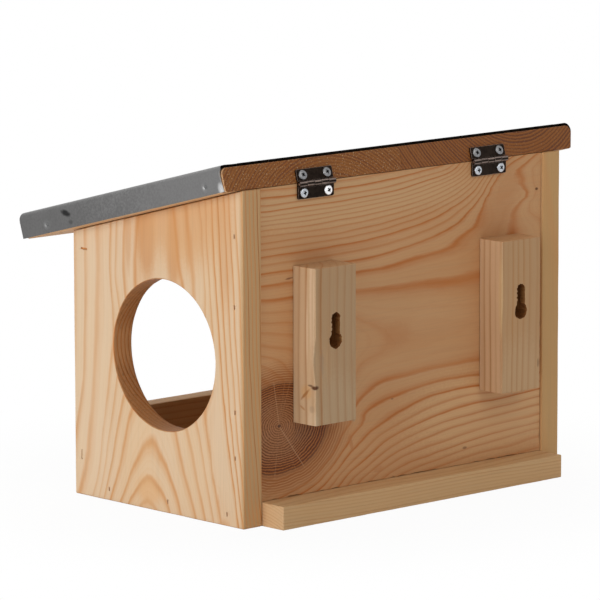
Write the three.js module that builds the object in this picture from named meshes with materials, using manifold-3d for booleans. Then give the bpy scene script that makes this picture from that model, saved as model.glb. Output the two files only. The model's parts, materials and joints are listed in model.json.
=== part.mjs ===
// Squirrel feeder box: a pine box with a round entry hole in each side, an open front behind a low lip,
// a hinged sloping roof under folded sheet metal, and two battens with keyholes that hang it on a wall.
//
// Millimetres, +Z up, front towards -Y, wall side towards +Y. The origin is the middle of the box's
// underside. Left and right are as seen from the front, so right is +X.

import * as THREE from 'three';
import { mergeVertices } from 'three/addons/utils/BufferGeometryUtils.js';
import Module from 'manifold-3d';

// Fits
const fit = 0.3;              // clearance between neighbouring pieces
const glueLine = 0.1;         // glue between the two roof boards
const pinPlay = 0.15;         // radial play of a hinge pin
const overrun = 5;            // how far a cutter runs past the piece that it cuts

// Box
const boxWidth = 270;         // over the side panels
const boxDepth = 155;         // side panels, front edge to rear edge
const rearHeight = 205;
const roofSlope = THREE.MathUtils.degToRad(14.5);
const boardT = 15;            // side panels and back panel
const floorT = 14.5;
const backRecess = 1.5;       // back panel, in from the side panels' rear edges
const lipT = 13;
const lipHeight = 51;
const railSide = 20;          // square front top rail
const entryHoleR = 46.5;
const entryHoleFromRear = 71.5;
const entryHoleHeight = 97.2;

// Hanging battens
const battenWidth = 33.5;
const battenT = 19.5;
const battenLength = 95.5;
const battenFromBase = 60;
const rightBattenFromEnd = 43.3;   // a batten's middle to its end of the back panel
const leftBattenFromEnd = 37.5;
const battenArrisR = 3.5;     // planed round on one front edge

// Keyholes
const keyEntryR = 5.2;
const keySlotWidth = 7.1;
const keyEntryFromBattenEnd = 50.6;
const keyRise = 13.5;         // entry centre to the slot's upper centre
const keyLipT = 4.2;          // wood left in front of the undercut
const keyDepth = 11;

// Roof boards
const roofBoardT = 14.6;
const roofLength = 189.5;     // down the slope
const roofSideOverhang = 11.7;
const rightEndFlare = 0.7;    // how far an end leans out from its underside to its top
const leftEndFlare = 4;
const glueLineFromMiddle = 1.2;

// Roof sheet
const sheetT = 0.8;
const sheetBendR = 1.2;       // inside the folds
const sheetSetback = 0.6;     // in from the boards' rear edge
const sheetDrip = 3.4;        // past the boards' front edge
const flangeShort = 0.5;      // flange edge above the boards' underside
const flangeCornerR = 2;      // lower front corner
const hemDepth = 8;           // edge folded back under the sheet, rear and front
const hemEndGap = 3;          // hem stops short of the side folds

// Hinges
const hingeLength = 29.5;
const hingeReach = 9.2;       // pin centre to a leaf's outer edge
const leafT = 1.2;
const knuckleR = 1.7;
const knuckleDrop = 0.6;      // pin centre below the roof's rear corner
const knuckleCount = 5;
const pinR = 0.9;
const leafCornerR = 1.1;
const rightHingeFromEnd = 44.6;    // a hinge's middle to its end of the back panel
const leftHingeFromEnd = 47.4;
const leafScrewSpacing = 19.8;
const leafScrewFromPin = 5.5;

// Leaf screws, raised countersunk heads
const leafScrewHeadR = 3;
const leafScrewShankR = 1.3;
const leafScrewLength = 12;
const leafScrewDome = 0.9;
const leafScrewProud = 0.2;   // rim of the head in front of the leaf
const leafScrewTip = 2.5;

// Batten screws, flat countersunk heads
const battenScrewHeadR = 3.8;
const battenScrewShankR = 1.9;
const battenScrewLength = 30;
const battenScrewTip = 4;
const battenScrewFromEnd = 15;

// Brads and staples, wire of one thickness
const wireT = 1.2;
const bradHead = 2.4;
const bradLength = 30;
const bradTip = 2;
const stapleCrown = 5.8;
const stapleLeg = 25;
const wireSunk = 0.5;         // crown below the wood's face
const backBradFromRear = 7.4;
const backBradHeightShares = [0.207, 0.343, 0.654, 0.862];   // of the rear height
const floorBradDepthShares = [0.096, 0.442, 0.793];          // of the box's depth, from the rear

// Flange nails
const nailHeadR = 1.5;
const nailHeadT = 0.6;
const nailShankR = 0.8;
const nailLength = 20;
const nailTip = 1.6;
const nailHeight = 5.8;       // above the boards' underside
const nailFromRear = 16;
const nailFromFront = 22.7;

// Facets
const holeSides = 64;
const roundSides = 24;
const screwSides = 16;
const keySides = 16;
const nailSides = 12;
const arcSteps = 6;

// Places that follow from the sizes
const rearY = boxDepth / 2;
const frontY = -boxDepth / 2;
const backFaceY = rearY - backRecess;
const insideHalf = boxWidth / 2 - boardT - fit;
const slopeRise = Math.tan(roofSlope);
const frontHeight = rearHeight - boxDepth * slopeRise;
const wallY = backFaceY + fit + battenT;
const roofCornerZ = rearHeight - backRecess * slopeRise + fit / Math.cos(roofSlope);
const pinY = backFaceY + fit + knuckleR;
const pinZ = roofCornerZ - knuckleDrop;
const roofHalf = boxWidth / 2 + roofSideOverhang;
const battens = [['right', insideHalf - rightBattenFromEnd], ['left', leftBattenFromEnd - insideHalf]];
const hinges = [['right', insideHalf - rightHingeFromEnd], ['left', leftHingeFromEnd - insideHalf]];

const wasm = await Module();
wasm.setup();

const pine = { color: 0xdcb88c, roughness: 0.75, metalness: 0 };
const shadedPine = { color: 0xc79c6c, roughness: 0.75, metalness: 0 };
const endGrain = { color: 0x8c5c36, roughness: 0.8, metalness: 0 };
const zinc = { color: 0x8a8c8d, roughness: 0.45, metalness: 0.9 };
const darkBronze = { color: 0x1e1713, roughness: 0.35, metalness: 0.9 };
const brightZinc = { color: 0xc9cbcd, roughness: 0.3, metalness: 1 };
const nailSteel = { color: 0x6d6a66, roughness: 0.5, metalness: 0.9 };

const xAxis = new THREE.Vector3(1, 0, 0);
const yAxis = new THREE.Vector3(0, 1, 0);
const zAxis = new THREE.Vector3(0, 0, 1);
// An outline drawn in Y and Z, extruded along X.
const acrossX = new THREE.Matrix4().makeBasis(yAxis, zAxis, xAxis);
// An outline drawn in X and Z, extruded towards the front.
const towardsFront = new THREE.Matrix4().makeBasis(xAxis, zAxis, yAxis.clone().negate());

// A closed geometry as a solid, moved by a matrix.
function solid(geometry, matrix = new THREE.Matrix4()) {
  const moved = geometry.clone().applyMatrix4(matrix);
  moved.deleteAttribute('normal');
  moved.deleteAttribute('uv');
  const merged = mergeVertices(moved);
  const triVerts = [];
  for (let i = 0; i < merged.index.count; i += 3) {
    const [a, b, c] = [0, 1, 2].map((k) => merged.index.getX(i + k));
    if (a !== b && b !== c && c !== a) triVerts.push(a, b, c);
  }
  const vertProperties = new Float32Array(merged.attributes.position.array);
  const source = { numProp: 3, vertProperties, triVerts: new Uint32Array(triVerts) };
  return new wasm.Manifold(new wasm.Mesh(source));
}

// A solid back as a geometry.
function geometryOf(body) {
  const mesh = body.getMesh();
  const geometry = new THREE.BufferGeometry();
  geometry.setAttribute('position', new THREE.BufferAttribute(mesh.vertProperties, 3));
  geometry.setIndex(new THREE.BufferAttribute(mesh.triVerts, 1));
  return geometry;
}

function cut(body, cutters) {
  return cutters.reduce((rest, cutter) => rest.subtract(cutter), body);
}

function join(bodies) {
  return bodies.reduce((whole, body) => whole.add(body));
}

function mesh(name, body, finish) {
  const geometry = geometryOf(body);
  geometry.computeVertexNormals();
  const piece = new THREE.Mesh(geometry, new THREE.MeshStandardMaterial(finish));
  piece.name = name;
  return piece;
}

function translation(x, y, z) {
  return new THREE.Matrix4().makeTranslation(x, y, z);
}

// A block between two corners.
function block(x0, x1, y0, y1, z0, z1) {
  const box = new THREE.BoxGeometry(x1 - x0, y1 - y0, z1 - z0);
  return solid(box, translation((x0 + x1) / 2, (y0 + y1) / 2, (z0 + z1) / 2));
}

function outline(points) {
  return new THREE.Shape(points.map(([u, v]) => new THREE.Vector2(u, v)));
}

// Each arc of the outline gets the given number of steps, which is two for each curve segment.
function extrude(shape, depth, matrix, steps = arcSteps) {
  const options = { depth, bevelEnabled: false, curveSegments: steps / 2 };
  return solid(new THREE.ExtrudeGeometry(shape, options), matrix);
}

// A round bar along X between two places.
function barAlongX(x0, x1, y, z, r) {
  const bar = new THREE.CylinderGeometry(r, r, x1 - x0, roundSides);
  bar.rotateZ(Math.PI / 2);
  return solid(bar, translation((x0 + x1) / 2, y, z));
}

// Points along a corner's fillet, from the side that comes in to the side that goes out.
function fillet(before, corner, after, r) {
  const [p, c, q] = [before, corner, after].map(([u, v]) => new THREE.Vector2(u, v));
  const inward = p.clone().sub(c).normalize();
  const outward = q.clone().sub(c).normalize();
  const half = inward.angleTo(outward) / 2;
  const centre = inward.clone().add(outward).normalize().multiplyScalar(r / Math.sin(half)).add(c);
  const from = inward.multiplyScalar(r / Math.tan(half)).add(c).sub(centre);
  const to = outward.multiplyScalar(r / Math.tan(half)).add(c).sub(centre);
  const sweep = Math.sign(from.cross(to)) * (Math.PI - 2 * half);
  const points = [];
  for (let i = 0; i <= arcSteps; i += 1) {
    const turned = from.clone().rotateAround(new THREE.Vector2(), (sweep * i) / arcSteps).add(centre);
    points.push([turned.x, turned.y]);
  }
  return points;
}

// A fastener has a mesh, and a cutter that is the same form grown by the fit.
// Its own frame has the head's outer face at the origin, looking along +X, and the shank towards -X.
function fastener(name, form, finish, matrix) {
  const piece = mesh(name, form(0, 0), finish);
  piece.applyMatrix4(matrix);
  return { piece, cutter: form(fit, overrun).transform(matrix.elements) };
}

// A brad: wire with a T head, its crown along Z.
function bradForm(grow, proud) {
  const head = bradHead / 2 + grow;
  const wire = wireT / 2 + grow;
  const end = -bradLength - grow;
  const shape = outline([
    [proud, -head], [proud, head], [-wireT - grow, head], [-wireT - grow, wire], [end + bradTip, wire],
    [end, 0], [end + bradTip, -wire], [-wireT - grow, -wire], [-wireT - grow, -head],
  ]);
  return acrossWire(shape, grow);
}

// A staple: a crown along Z and two legs.
function stapleForm(grow, proud) {
  const crown = stapleCrown / 2 + grow;
  const inner = stapleCrown / 2 - wireT - grow;
  const end = -stapleLeg - grow;
  const under = -wireT - grow;
  const shape = outline([
    [proud, -crown], [proud, crown], [end, crown], [end, inner], [under, inner],
    [under, -inner], [end, -inner], [end, -crown],
  ]);
  return acrossWire(shape, grow);
}

// An outline in X and Z, as thick as the wire along Y.
function acrossWire(shape, grow) {
  const thickness = wireT + 2 * grow;
  return extrude(shape, thickness, translation(0, thickness / 2, 0).multiply(towardsFront));
}

// A turned fastener from a profile of radius and height, its head towards +X.
function turned(profile, sides) {
  const points = profile.map(([r, height]) => new THREE.Vector2(r, height));
  const lathe = new THREE.LatheGeometry(points, sides);
  lathe.rotateZ(-Math.PI / 2);
  return solid(lathe);
}

// A raised countersunk screw. Its origin is on the leaf's face, and its cutter has a straight head.
function leafScrewForm(grow, proud) {
  const rim = leafScrewHeadR + grow;
  const shank = leafScrewShankR + grow;
  const neck = leafScrewProud - (leafScrewHeadR - leafScrewShankR) - grow;
  const end = -leafScrewLength - grow;
  const profile = [[0, end], [shank, end + leafScrewTip], [shank, neck], [rim, leafScrewProud]];
  if (proud > 0) return turned([...profile, [rim, proud], [0, proud]], screwSides);
  for (let i = 1; i < arcSteps; i += 1) {
    const turn = (i / arcSteps) * (Math.PI / 2);
    profile.push([rim * Math.cos(turn), leafScrewProud + leafScrewDome * Math.sin(turn)]);
  }
  return turned([...profile, [0, leafScrewProud + leafScrewDome]], screwSides);
}

// A flat countersunk wood screw.
function battenScrewForm(grow, proud) {
  const rim = battenScrewHeadR + grow;
  const shank = battenScrewShankR + grow;
  const neck = -(battenScrewHeadR - battenScrewShankR) - grow;
  const end = -battenScrewLength - grow;
  const profile = [[0, end], [shank, end + battenScrewTip], [shank, neck], [rim, 0]];
  if (proud > 0) profile.push([rim, proud]);
  profile.push([0, proud]);
  return turned(profile, screwSides);
}

// A small nail with a flat head.
function nailForm(grow, proud) {
  const head = nailHeadR + grow;
  const shank = nailShankR + grow;
  const under = -nailHeadT - grow;
  const end = -nailLength - grow;
  const point = [[0, end], [shank, end + nailTip]];
  return turned([...point, [shank, under], [head, under], [head, proud], [0, proud]], nailSides);
}

// Turns a fastener's frame so that its head faces the right (+1) or the left (-1).
function facing(side) {
  return new THREE.Matrix4().makeRotationZ(side > 0 ? 0 : Math.PI);
}

// The brads and staples of one side panel, by what they hold.
function sideFasteners(side, word) {
  const faceX = side * (boxWidth / 2 - wireSunk);
  const at = (y, z) => translation(faceX, y, z).multiply(facing(side));
  const crownLevel = new THREE.Matrix4().makeRotationX(Math.PI / 2);
  const back = backBradHeightShares.map((share, i) => fastener(
    `brad_${word}_back_${i + 1}`, bradForm, nailSteel, at(rearY - backBradFromRear, share * rearHeight),
  ));
  const floor = floorBradDepthShares.map((share, i) => fastener(
    `brad_${word}_floor_${i + 1}`, bradForm, nailSteel, at(rearY - share * boxDepth, floorT / 2),
  ));
  const lip = fastener(`staple_${word}_lip`, stapleForm, nailSteel, at(frontY + lipT / 2, lipHeight / 2));
  const railPlace = at(frontY + railSide / 2, frontHeight - fit - railSide / 2).multiply(crownLevel);
  const rail = fastener(`staple_${word}_rail`, stapleForm, nailSteel, railPlace);
  return { back, floor, lip: [lip], rail: [rail] };
}

function sidePanel(side, word, fasteners) {
  const shape = outline([[frontY, 0], [rearY, 0], [rearY, rearHeight], [frontY, frontHeight]]);
  const hole = new THREE.Path();
  hole.absarc(rearY - entryHoleFromRear, entryHoleHeight, entryHoleR, 0, 2 * Math.PI, true);
  shape.holes.push(hole);
  const inner = side > 0 ? boxWidth / 2 - boardT : -boxWidth / 2;
  const body = extrude(shape, boardT, translation(inner, 0, 0).multiply(acrossX), holeSides);
  const cutters = Object.values(fasteners).flat().map((item) => item.cutter);
  return mesh(`side_panel_${word}`, cut(body, cutters), pine);
}

// The back panel stands on the floor, its top planed to the roof's slope.
function backPanel(cutters) {
  const innerY = backFaceY - boardT;
  const topAt = (y) => rearHeight - (rearY - y) * slopeRise;
  const shape = outline([
    [innerY, floorT + fit], [backFaceY, floorT + fit], [backFaceY, topAt(backFaceY)], [innerY, topAt(innerY)],
  ]);
  const body = extrude(shape, 2 * insideHalf, translation(-insideHalf, 0, 0).multiply(acrossX));
  return mesh('back_panel', cut(body, cutters), pine);
}

// The floor runs from the lip out to the wall, between the side panels.
function floorBoard(cutters) {
  const body = block(-insideHalf, insideHalf, frontY + lipT + fit, wallY, 0, floorT);
  return mesh('floor_board', cut(body, cutters), pine);
}

function frontLip(cutters) {
  const body = block(-insideHalf, insideHalf, frontY, frontY + lipT, 0, lipHeight);
  return mesh('front_lip', cut(body, cutters), pine);
}

function frontRail(cutters) {
  const top = frontHeight - fit;
  const body = block(-insideHalf, insideHalf, frontY, frontY + railSide, top - railSide, top);
  return mesh('front_top_rail', cut(body, cutters), pine);
}

// The undercut slot that hangs on a screw head: a round entry, a narrow slot up from it,
// and behind the slot a channel as wide as the entry.
function keyholeCutter(x) {
  const entryZ = battenFromBase + keyEntryFromBattenEnd;
  const upright = (halfWidth) => {
    const shape = new THREE.Shape();
    shape.absarc(x, entryZ + keyRise, halfWidth, 0, Math.PI, false);
    shape.absarc(x, entryZ, halfWidth, Math.PI, 2 * Math.PI, false);
    return shape;
  };
  const slice = (shape, fromWall, depth, steps) => {
    return extrude(shape, depth, translation(0, wallY - fromWall, 0).multiply(towardsFront), steps);
  };
  const entry = new THREE.Shape();
  entry.absarc(x, entryZ, keyEntryR, 0, 2 * Math.PI, false);
  return join([
    slice(entry, -overrun, overrun + keyDepth, keySides),
    slice(upright(keySlotWidth / 2), -overrun, overrun + keyDepth, keySides / 2),
    slice(upright(keyEntryR), keyLipT, keyDepth - keyLipT, keySides / 2),
  ]);
}

// A hanging batten with one rounded front edge on its right, and its keyhole.
function batten(word, x, screws) {
  const half = battenWidth / 2;
  const y0 = backFaceY + fit;
  const round = fillet([x + half, y0], [x + half, wallY], [x - half, wallY], battenArrisR);
  const shape = outline([[x - half, y0], [x + half, y0], ...round, [x - half, wallY]]);
  const body = extrude(shape, battenLength, translation(0, 0, battenFromBase));
  const cutters = screws.map((item) => item.cutter);
  return mesh(`hanging_batten_${word}`, cut(body, [keyholeCutter(x), ...cutters]), shadedPine);
}

// Two screws from inside the box through the back panel into a batten.
function battenScrews(word, x) {
  const headY = backFaceY - boardT;
  const towardsInside = new THREE.Matrix4().makeRotationZ(-Math.PI / 2);
  return [battenScrewFromEnd, battenLength - battenScrewFromEnd].map((height, i) => fastener(
    `batten_screw_${word}_${i + 1}`, battenScrewForm, brightZinc,
    translation(x, headY, battenFromBase + height).multiply(towardsInside),
  ));
}

// One hinge leaf about a pin along X. The leaf lies against a face at y = faceY and reaches from the pin
// up (+1) or down (-1). Even knuckles belong to the leaf on the box, odd ones to the leaf on the roof.
function hingeLeaf(name, x, faceY, axisY, axisZ, direction, parity, screws) {
  const x0 = x - hingeLength / 2;
  const x1 = x + hingeLength / 2;
  const pitch = hingeLength / knuckleCount;
  const outerZ = axisZ + direction * hingeReach;
  const mine = [];
  const others = [];
  for (let k = 0; k < knuckleCount; k += 1) {
    const start = x0 + k * pitch;
    if (k % 2 === parity) mine.push(barAlongX(start, start + pitch, axisY, axisZ, knuckleR));
    else others.push(barAlongX(start - fit / 2, start + pitch + fit / 2, axisY, axisZ, knuckleR + fit));
  }
  const shape = outline([
    [x0, axisZ], [x1, axisZ],
    ...fillet([x1, axisZ], [x1, outerZ], [x0, outerZ], leafCornerR),
    ...fillet([x1, outerZ], [x0, outerZ], [x0, axisZ], leafCornerR),
  ]);
  const plate = extrude(shape, leafT, translation(0, faceY + fit + leafT, 0).multiply(towardsFront));
  const bore = barAlongX(x0 - overrun, x1 + overrun, axisY, axisZ, pinR + pinPlay);
  const cutters = screws.map((item) => item.cutter);
  return mesh(name, cut(join([plate, ...mine]), [...others, bore, ...cutters]), darkBronze);
}

function hingePin(word, x) {
  const bar = barAlongX(x - hingeLength / 2, x + hingeLength / 2, pinY, pinZ, pinR);
  return mesh(`hinge_pin_${word}`, bar, darkBronze);
}

// The two screws of a leaf, in the frame of the face that it lies on.
function leafScrews(name, x, faceY, z) {
  const towardsWall = new THREE.Matrix4().makeRotationZ(Math.PI / 2);
  return [-1, 1].map((side, i) => fastener(
    `${name}_${i + 1}`, leafScrewForm, brightZinc,
    translation(x + (side * leafScrewSpacing) / 2, faceY + fit + leafT, z).multiply(towardsWall),
  ));
}

// The outline of one roof board, seen along the slope, from its glued edge to its leaning end.
function roofBoard(word, side, flare, cutters) {
  const glued = glueLineFromMiddle + (side * glueLine) / 2;
  const end = side * roofHalf;
  const shape = outline([[glued, 0], [end, 0], [end + side * flare, roofBoardT], [glued, roofBoardT]]);
  return mesh(`roof_board_${word}`, cut(extrude(shape, roofLength, towardsFront), cutters), endGrain);
}

// The line of a board end, moved out by an offset, at a height above the boards' underside.
function endLine(side, flare, offset, height) {
  const lean = Math.hypot(flare, roofBoardT) / roofBoardT;
  return [side * (roofHalf + (flare * height) / roofBoardT + offset * lean), height];
}

// One skin of the folded sheet, from the right flange's edge over the top to the left flange's edge.
function sheetSkin(offset, top, bendR) {
  const atHeight = (height) => [
    endLine(1, rightEndFlare, offset, height),
    endLine(-1, leftEndFlare, offset, height),
  ];
  const foot = atHeight(flangeShort);
  const corner = atHeight(top);
  return [
    foot[0],
    ...fillet(foot[0], corner[0], corner[1], bendR),
    ...fillet(corner[0], corner[1], foot[1], bendR),
    foot[1],
  ];
}

// An edge of the sheet folded back under itself, so that the sheet rests on its hems.
function hem(noseY, inward) {
  const foldZ = roofBoardT + fit + sheetT;
  const shape = new THREE.Shape();
  const turnIn = inward < 0;
  shape.moveTo(noseY + inward * hemDepth, foldZ - sheetT);
  shape.lineTo(noseY + inward * sheetT, foldZ - sheetT);
  shape.absarc(noseY + inward * sheetT, foldZ, sheetT, -Math.PI / 2, Math.PI / 2, !turnIn);
  shape.lineTo(noseY + inward * hemDepth, foldZ + sheetT);
  const [x1] = endLine(1, rightEndFlare, fit, foldZ);
  const [x0] = endLine(-1, leftEndFlare, fit, foldZ);
  const short = sheetBendR + hemEndGap;
  return extrude(shape, x1 - x0 - 2 * short, translation(x0 + short, 0, 0).multiply(acrossX));
}

// What the snips take off the lower front corners of both flanges.
function flangeCorners(tipY) {
  const inset = tipY + flangeCornerR;
  const level = flangeShort + flangeCornerR;
  const round = fillet([inset, flangeShort], [tipY, flangeShort], [tipY, level], flangeCornerR);
  const beyond = tipY - overrun;
  const below = flangeShort - overrun;
  const shape = outline([[beyond, below], [inset, below], ...round, [beyond, level]]);
  const half = roofHalf + Math.max(leftEndFlare, rightEndFlare) + sheetT + overrun;
  return extrude(shape, 2 * half, translation(-half, 0, 0).multiply(acrossX));
}

// Sheet metal over the boards, folded down over both ends and hemmed along its other two edges.
function roofSheet(cutters) {
  const under = roofBoardT + fit + sheetT;
  const inner = sheetSkin(fit, under, sheetBendR);
  const outer = sheetSkin(fit + sheetT, under + sheetT, sheetBendR + sheetT);
  const shape = outline([...outer, ...inner.reverse()]);
  const rearNose = -sheetSetback;
  const frontNose = -(roofLength + sheetDrip);
  const length = rearNose - frontNose - 2 * sheetT;
  const skin = extrude(shape, length, translation(0, rearNose - sheetT, 0).multiply(towardsFront));
  const folded = join([skin, hem(rearNose, -1), hem(frontNose, 1)]);
  return mesh('roof_sheet', cut(folded, [flangeCorners(frontNose + sheetT), ...cutters]), zinc);
}

// The nails through one flange into the board's end, square to the flange.
function flangeNails(word, side, flare) {
  const lean = Math.atan2(flare, roofBoardT);
  const turn = new THREE.Matrix4().makeRotationY(side > 0 ? lean : Math.PI - lean);
  const [x] = endLine(side, flare, 0, nailHeight);
  const out = translation(fit + sheetT + nailHeadT / 2, 0, 0);
  return [-nailFromRear, nailFromFront - roofLength].map((y, i) => {
    const place = translation(x, y, nailHeight).multiply(turn).multiply(out);
    return fastener(`flange_nail_${word}_${i + 1}`, nailForm, nailSteel, place);
  });
}

function buildBox() {
  const box = new THREE.Group();
  const wires = { right: sideFasteners(1, 'right'), left: sideFasteners(-1, 'left') };
  const wireCutters = (kind) => [...wires.right[kind], ...wires.left[kind]].map((item) => item.cutter);
  box.add(sidePanel(1, 'right', wires.right), sidePanel(-1, 'left', wires.left));
  box.add(floorBoard(wireCutters('floor')), frontLip(wireCutters('lip')), frontRail(wireCutters('rail')));
  const fasteners = Object.values(wires).flatMap((kinds) => Object.values(kinds).flat());
  const backCutters = wireCutters('back');
  for (const [word, x] of battens) {
    const screws = battenScrews(word, x);
    backCutters.push(...screws.map((item) => item.cutter));
    box.add(batten(word, x, screws));
    fasteners.push(...screws);
  }
  for (const [word, x] of hinges) {
    const screws = leafScrews(`hinge_screw_${word}_box`, x, backFaceY, pinZ - leafScrewFromPin);
    backCutters.push(...screws.map((item) => item.cutter));
    box.add(hingeLeaf(`hinge_leaf_${word}_box`, x, backFaceY, pinY, pinZ, -1, 0, screws), hingePin(word, x));
    fasteners.push(...screws);
  }
  box.add(backPanel(backCutters), ...fasteners.map((item) => item.piece));
  return box;
}

// The roof is drawn flat: y = 0 is the boards' rear face, z = 0 their underside. It then leans to the slope.
function buildRoof() {
  const roof = new THREE.Group();
  roof.position.set(0, backFaceY, roofCornerZ);
  roof.rotation.x = roofSlope;
  const pinAway = new THREE.Vector3(0, pinY - backFaceY, -knuckleDrop).applyAxisAngle(xAxis, -roofSlope);
  const nails = [...flangeNails('right', 1, rightEndFlare), ...flangeNails('left', -1, leftEndFlare)];
  const fasteners = [...nails];
  for (const [word, x] of hinges) {
    const screws = leafScrews(`hinge_screw_${word}_roof`, x, 0, pinAway.z + leafScrewFromPin);
    roof.add(hingeLeaf(`hinge_leaf_${word}_roof`, x, 0, pinAway.y, pinAway.z, 1, 1, screws));
    fasteners.push(...screws);
  }
  const cutters = fasteners.map((item) => item.cutter);
  roof.add(roofBoard('right', 1, rightEndFlare, cutters), roofBoard('left', -1, leftEndFlare, cutters));
  roof.add(roofSheet(nails.map((item) => item.cutter)), ...fasteners.map((item) => item.piece));
  return roof;
}

const feeder = new THREE.Group();
feeder.add(buildBox(), buildRoof());

export default feeder;
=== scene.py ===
"""Looks of a wall-hung squirrel feeder box, made round its CAD frame.

Metres, +Z up, open front towards -Y, wall side towards +Y. Left and right are as seen from the front,
so right is +X. Every board is drawn in place and then given a frame of its own, in which X runs along
the grain, Y across the board and Z through it, so that one pine finish can be sawn to any figure.
"""

import json
import logging
import math
import random
from dataclasses import dataclass, field
from enum import Enum
from functools import partial, reduce
from typing import Callable, Iterable, Sequence

import bmesh
import bpy
import numpy as np
from mathutils import Matrix, Vector, noise


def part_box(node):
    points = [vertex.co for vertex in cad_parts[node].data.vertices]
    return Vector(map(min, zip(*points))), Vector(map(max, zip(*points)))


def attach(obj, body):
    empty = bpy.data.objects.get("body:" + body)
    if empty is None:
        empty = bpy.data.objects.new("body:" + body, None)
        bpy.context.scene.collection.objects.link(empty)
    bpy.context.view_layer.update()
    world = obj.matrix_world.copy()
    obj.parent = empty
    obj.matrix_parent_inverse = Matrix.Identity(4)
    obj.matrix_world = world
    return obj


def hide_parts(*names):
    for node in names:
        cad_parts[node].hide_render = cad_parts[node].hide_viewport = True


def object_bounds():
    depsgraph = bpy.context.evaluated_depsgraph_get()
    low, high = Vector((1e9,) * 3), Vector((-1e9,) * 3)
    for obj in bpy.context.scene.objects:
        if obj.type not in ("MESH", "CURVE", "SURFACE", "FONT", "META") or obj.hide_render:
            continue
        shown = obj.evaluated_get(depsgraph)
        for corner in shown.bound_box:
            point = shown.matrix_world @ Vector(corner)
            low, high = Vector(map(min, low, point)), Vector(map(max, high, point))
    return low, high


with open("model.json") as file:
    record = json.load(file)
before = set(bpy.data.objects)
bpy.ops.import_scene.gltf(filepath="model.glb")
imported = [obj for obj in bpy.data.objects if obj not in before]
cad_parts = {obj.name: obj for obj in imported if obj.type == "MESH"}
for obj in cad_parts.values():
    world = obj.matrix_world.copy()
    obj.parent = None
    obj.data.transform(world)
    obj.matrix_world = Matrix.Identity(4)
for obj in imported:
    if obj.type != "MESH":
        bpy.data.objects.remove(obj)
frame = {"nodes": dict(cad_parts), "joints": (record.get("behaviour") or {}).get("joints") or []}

CAD_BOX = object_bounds()
LOG = logging.getLogger("feeder")
MM = 0.001
QUARTER = math.pi / 2
CRISP = math.radians(38)

Point = tuple[float, float]
Triple = tuple[float, float, float]
Colour = Triple
Form = bmesh.types.BMesh
Row = list[bmesh.types.BMVert | None]
Piece = bpy.types.Object
Finish = bpy.types.Material
Socket = bpy.types.NodeSocket
Value = float | tuple | Socket
Line = tuple[float, ...]

WHITE: Colour = (1.0, 1.0, 1.0)


class Axis(Enum):
    """A direction of the part's frame."""

    X = Vector((1, 0, 0))
    Y = Vector((0, 1, 0))
    Z = Vector((0, 0, 1))


# Node trees


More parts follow.
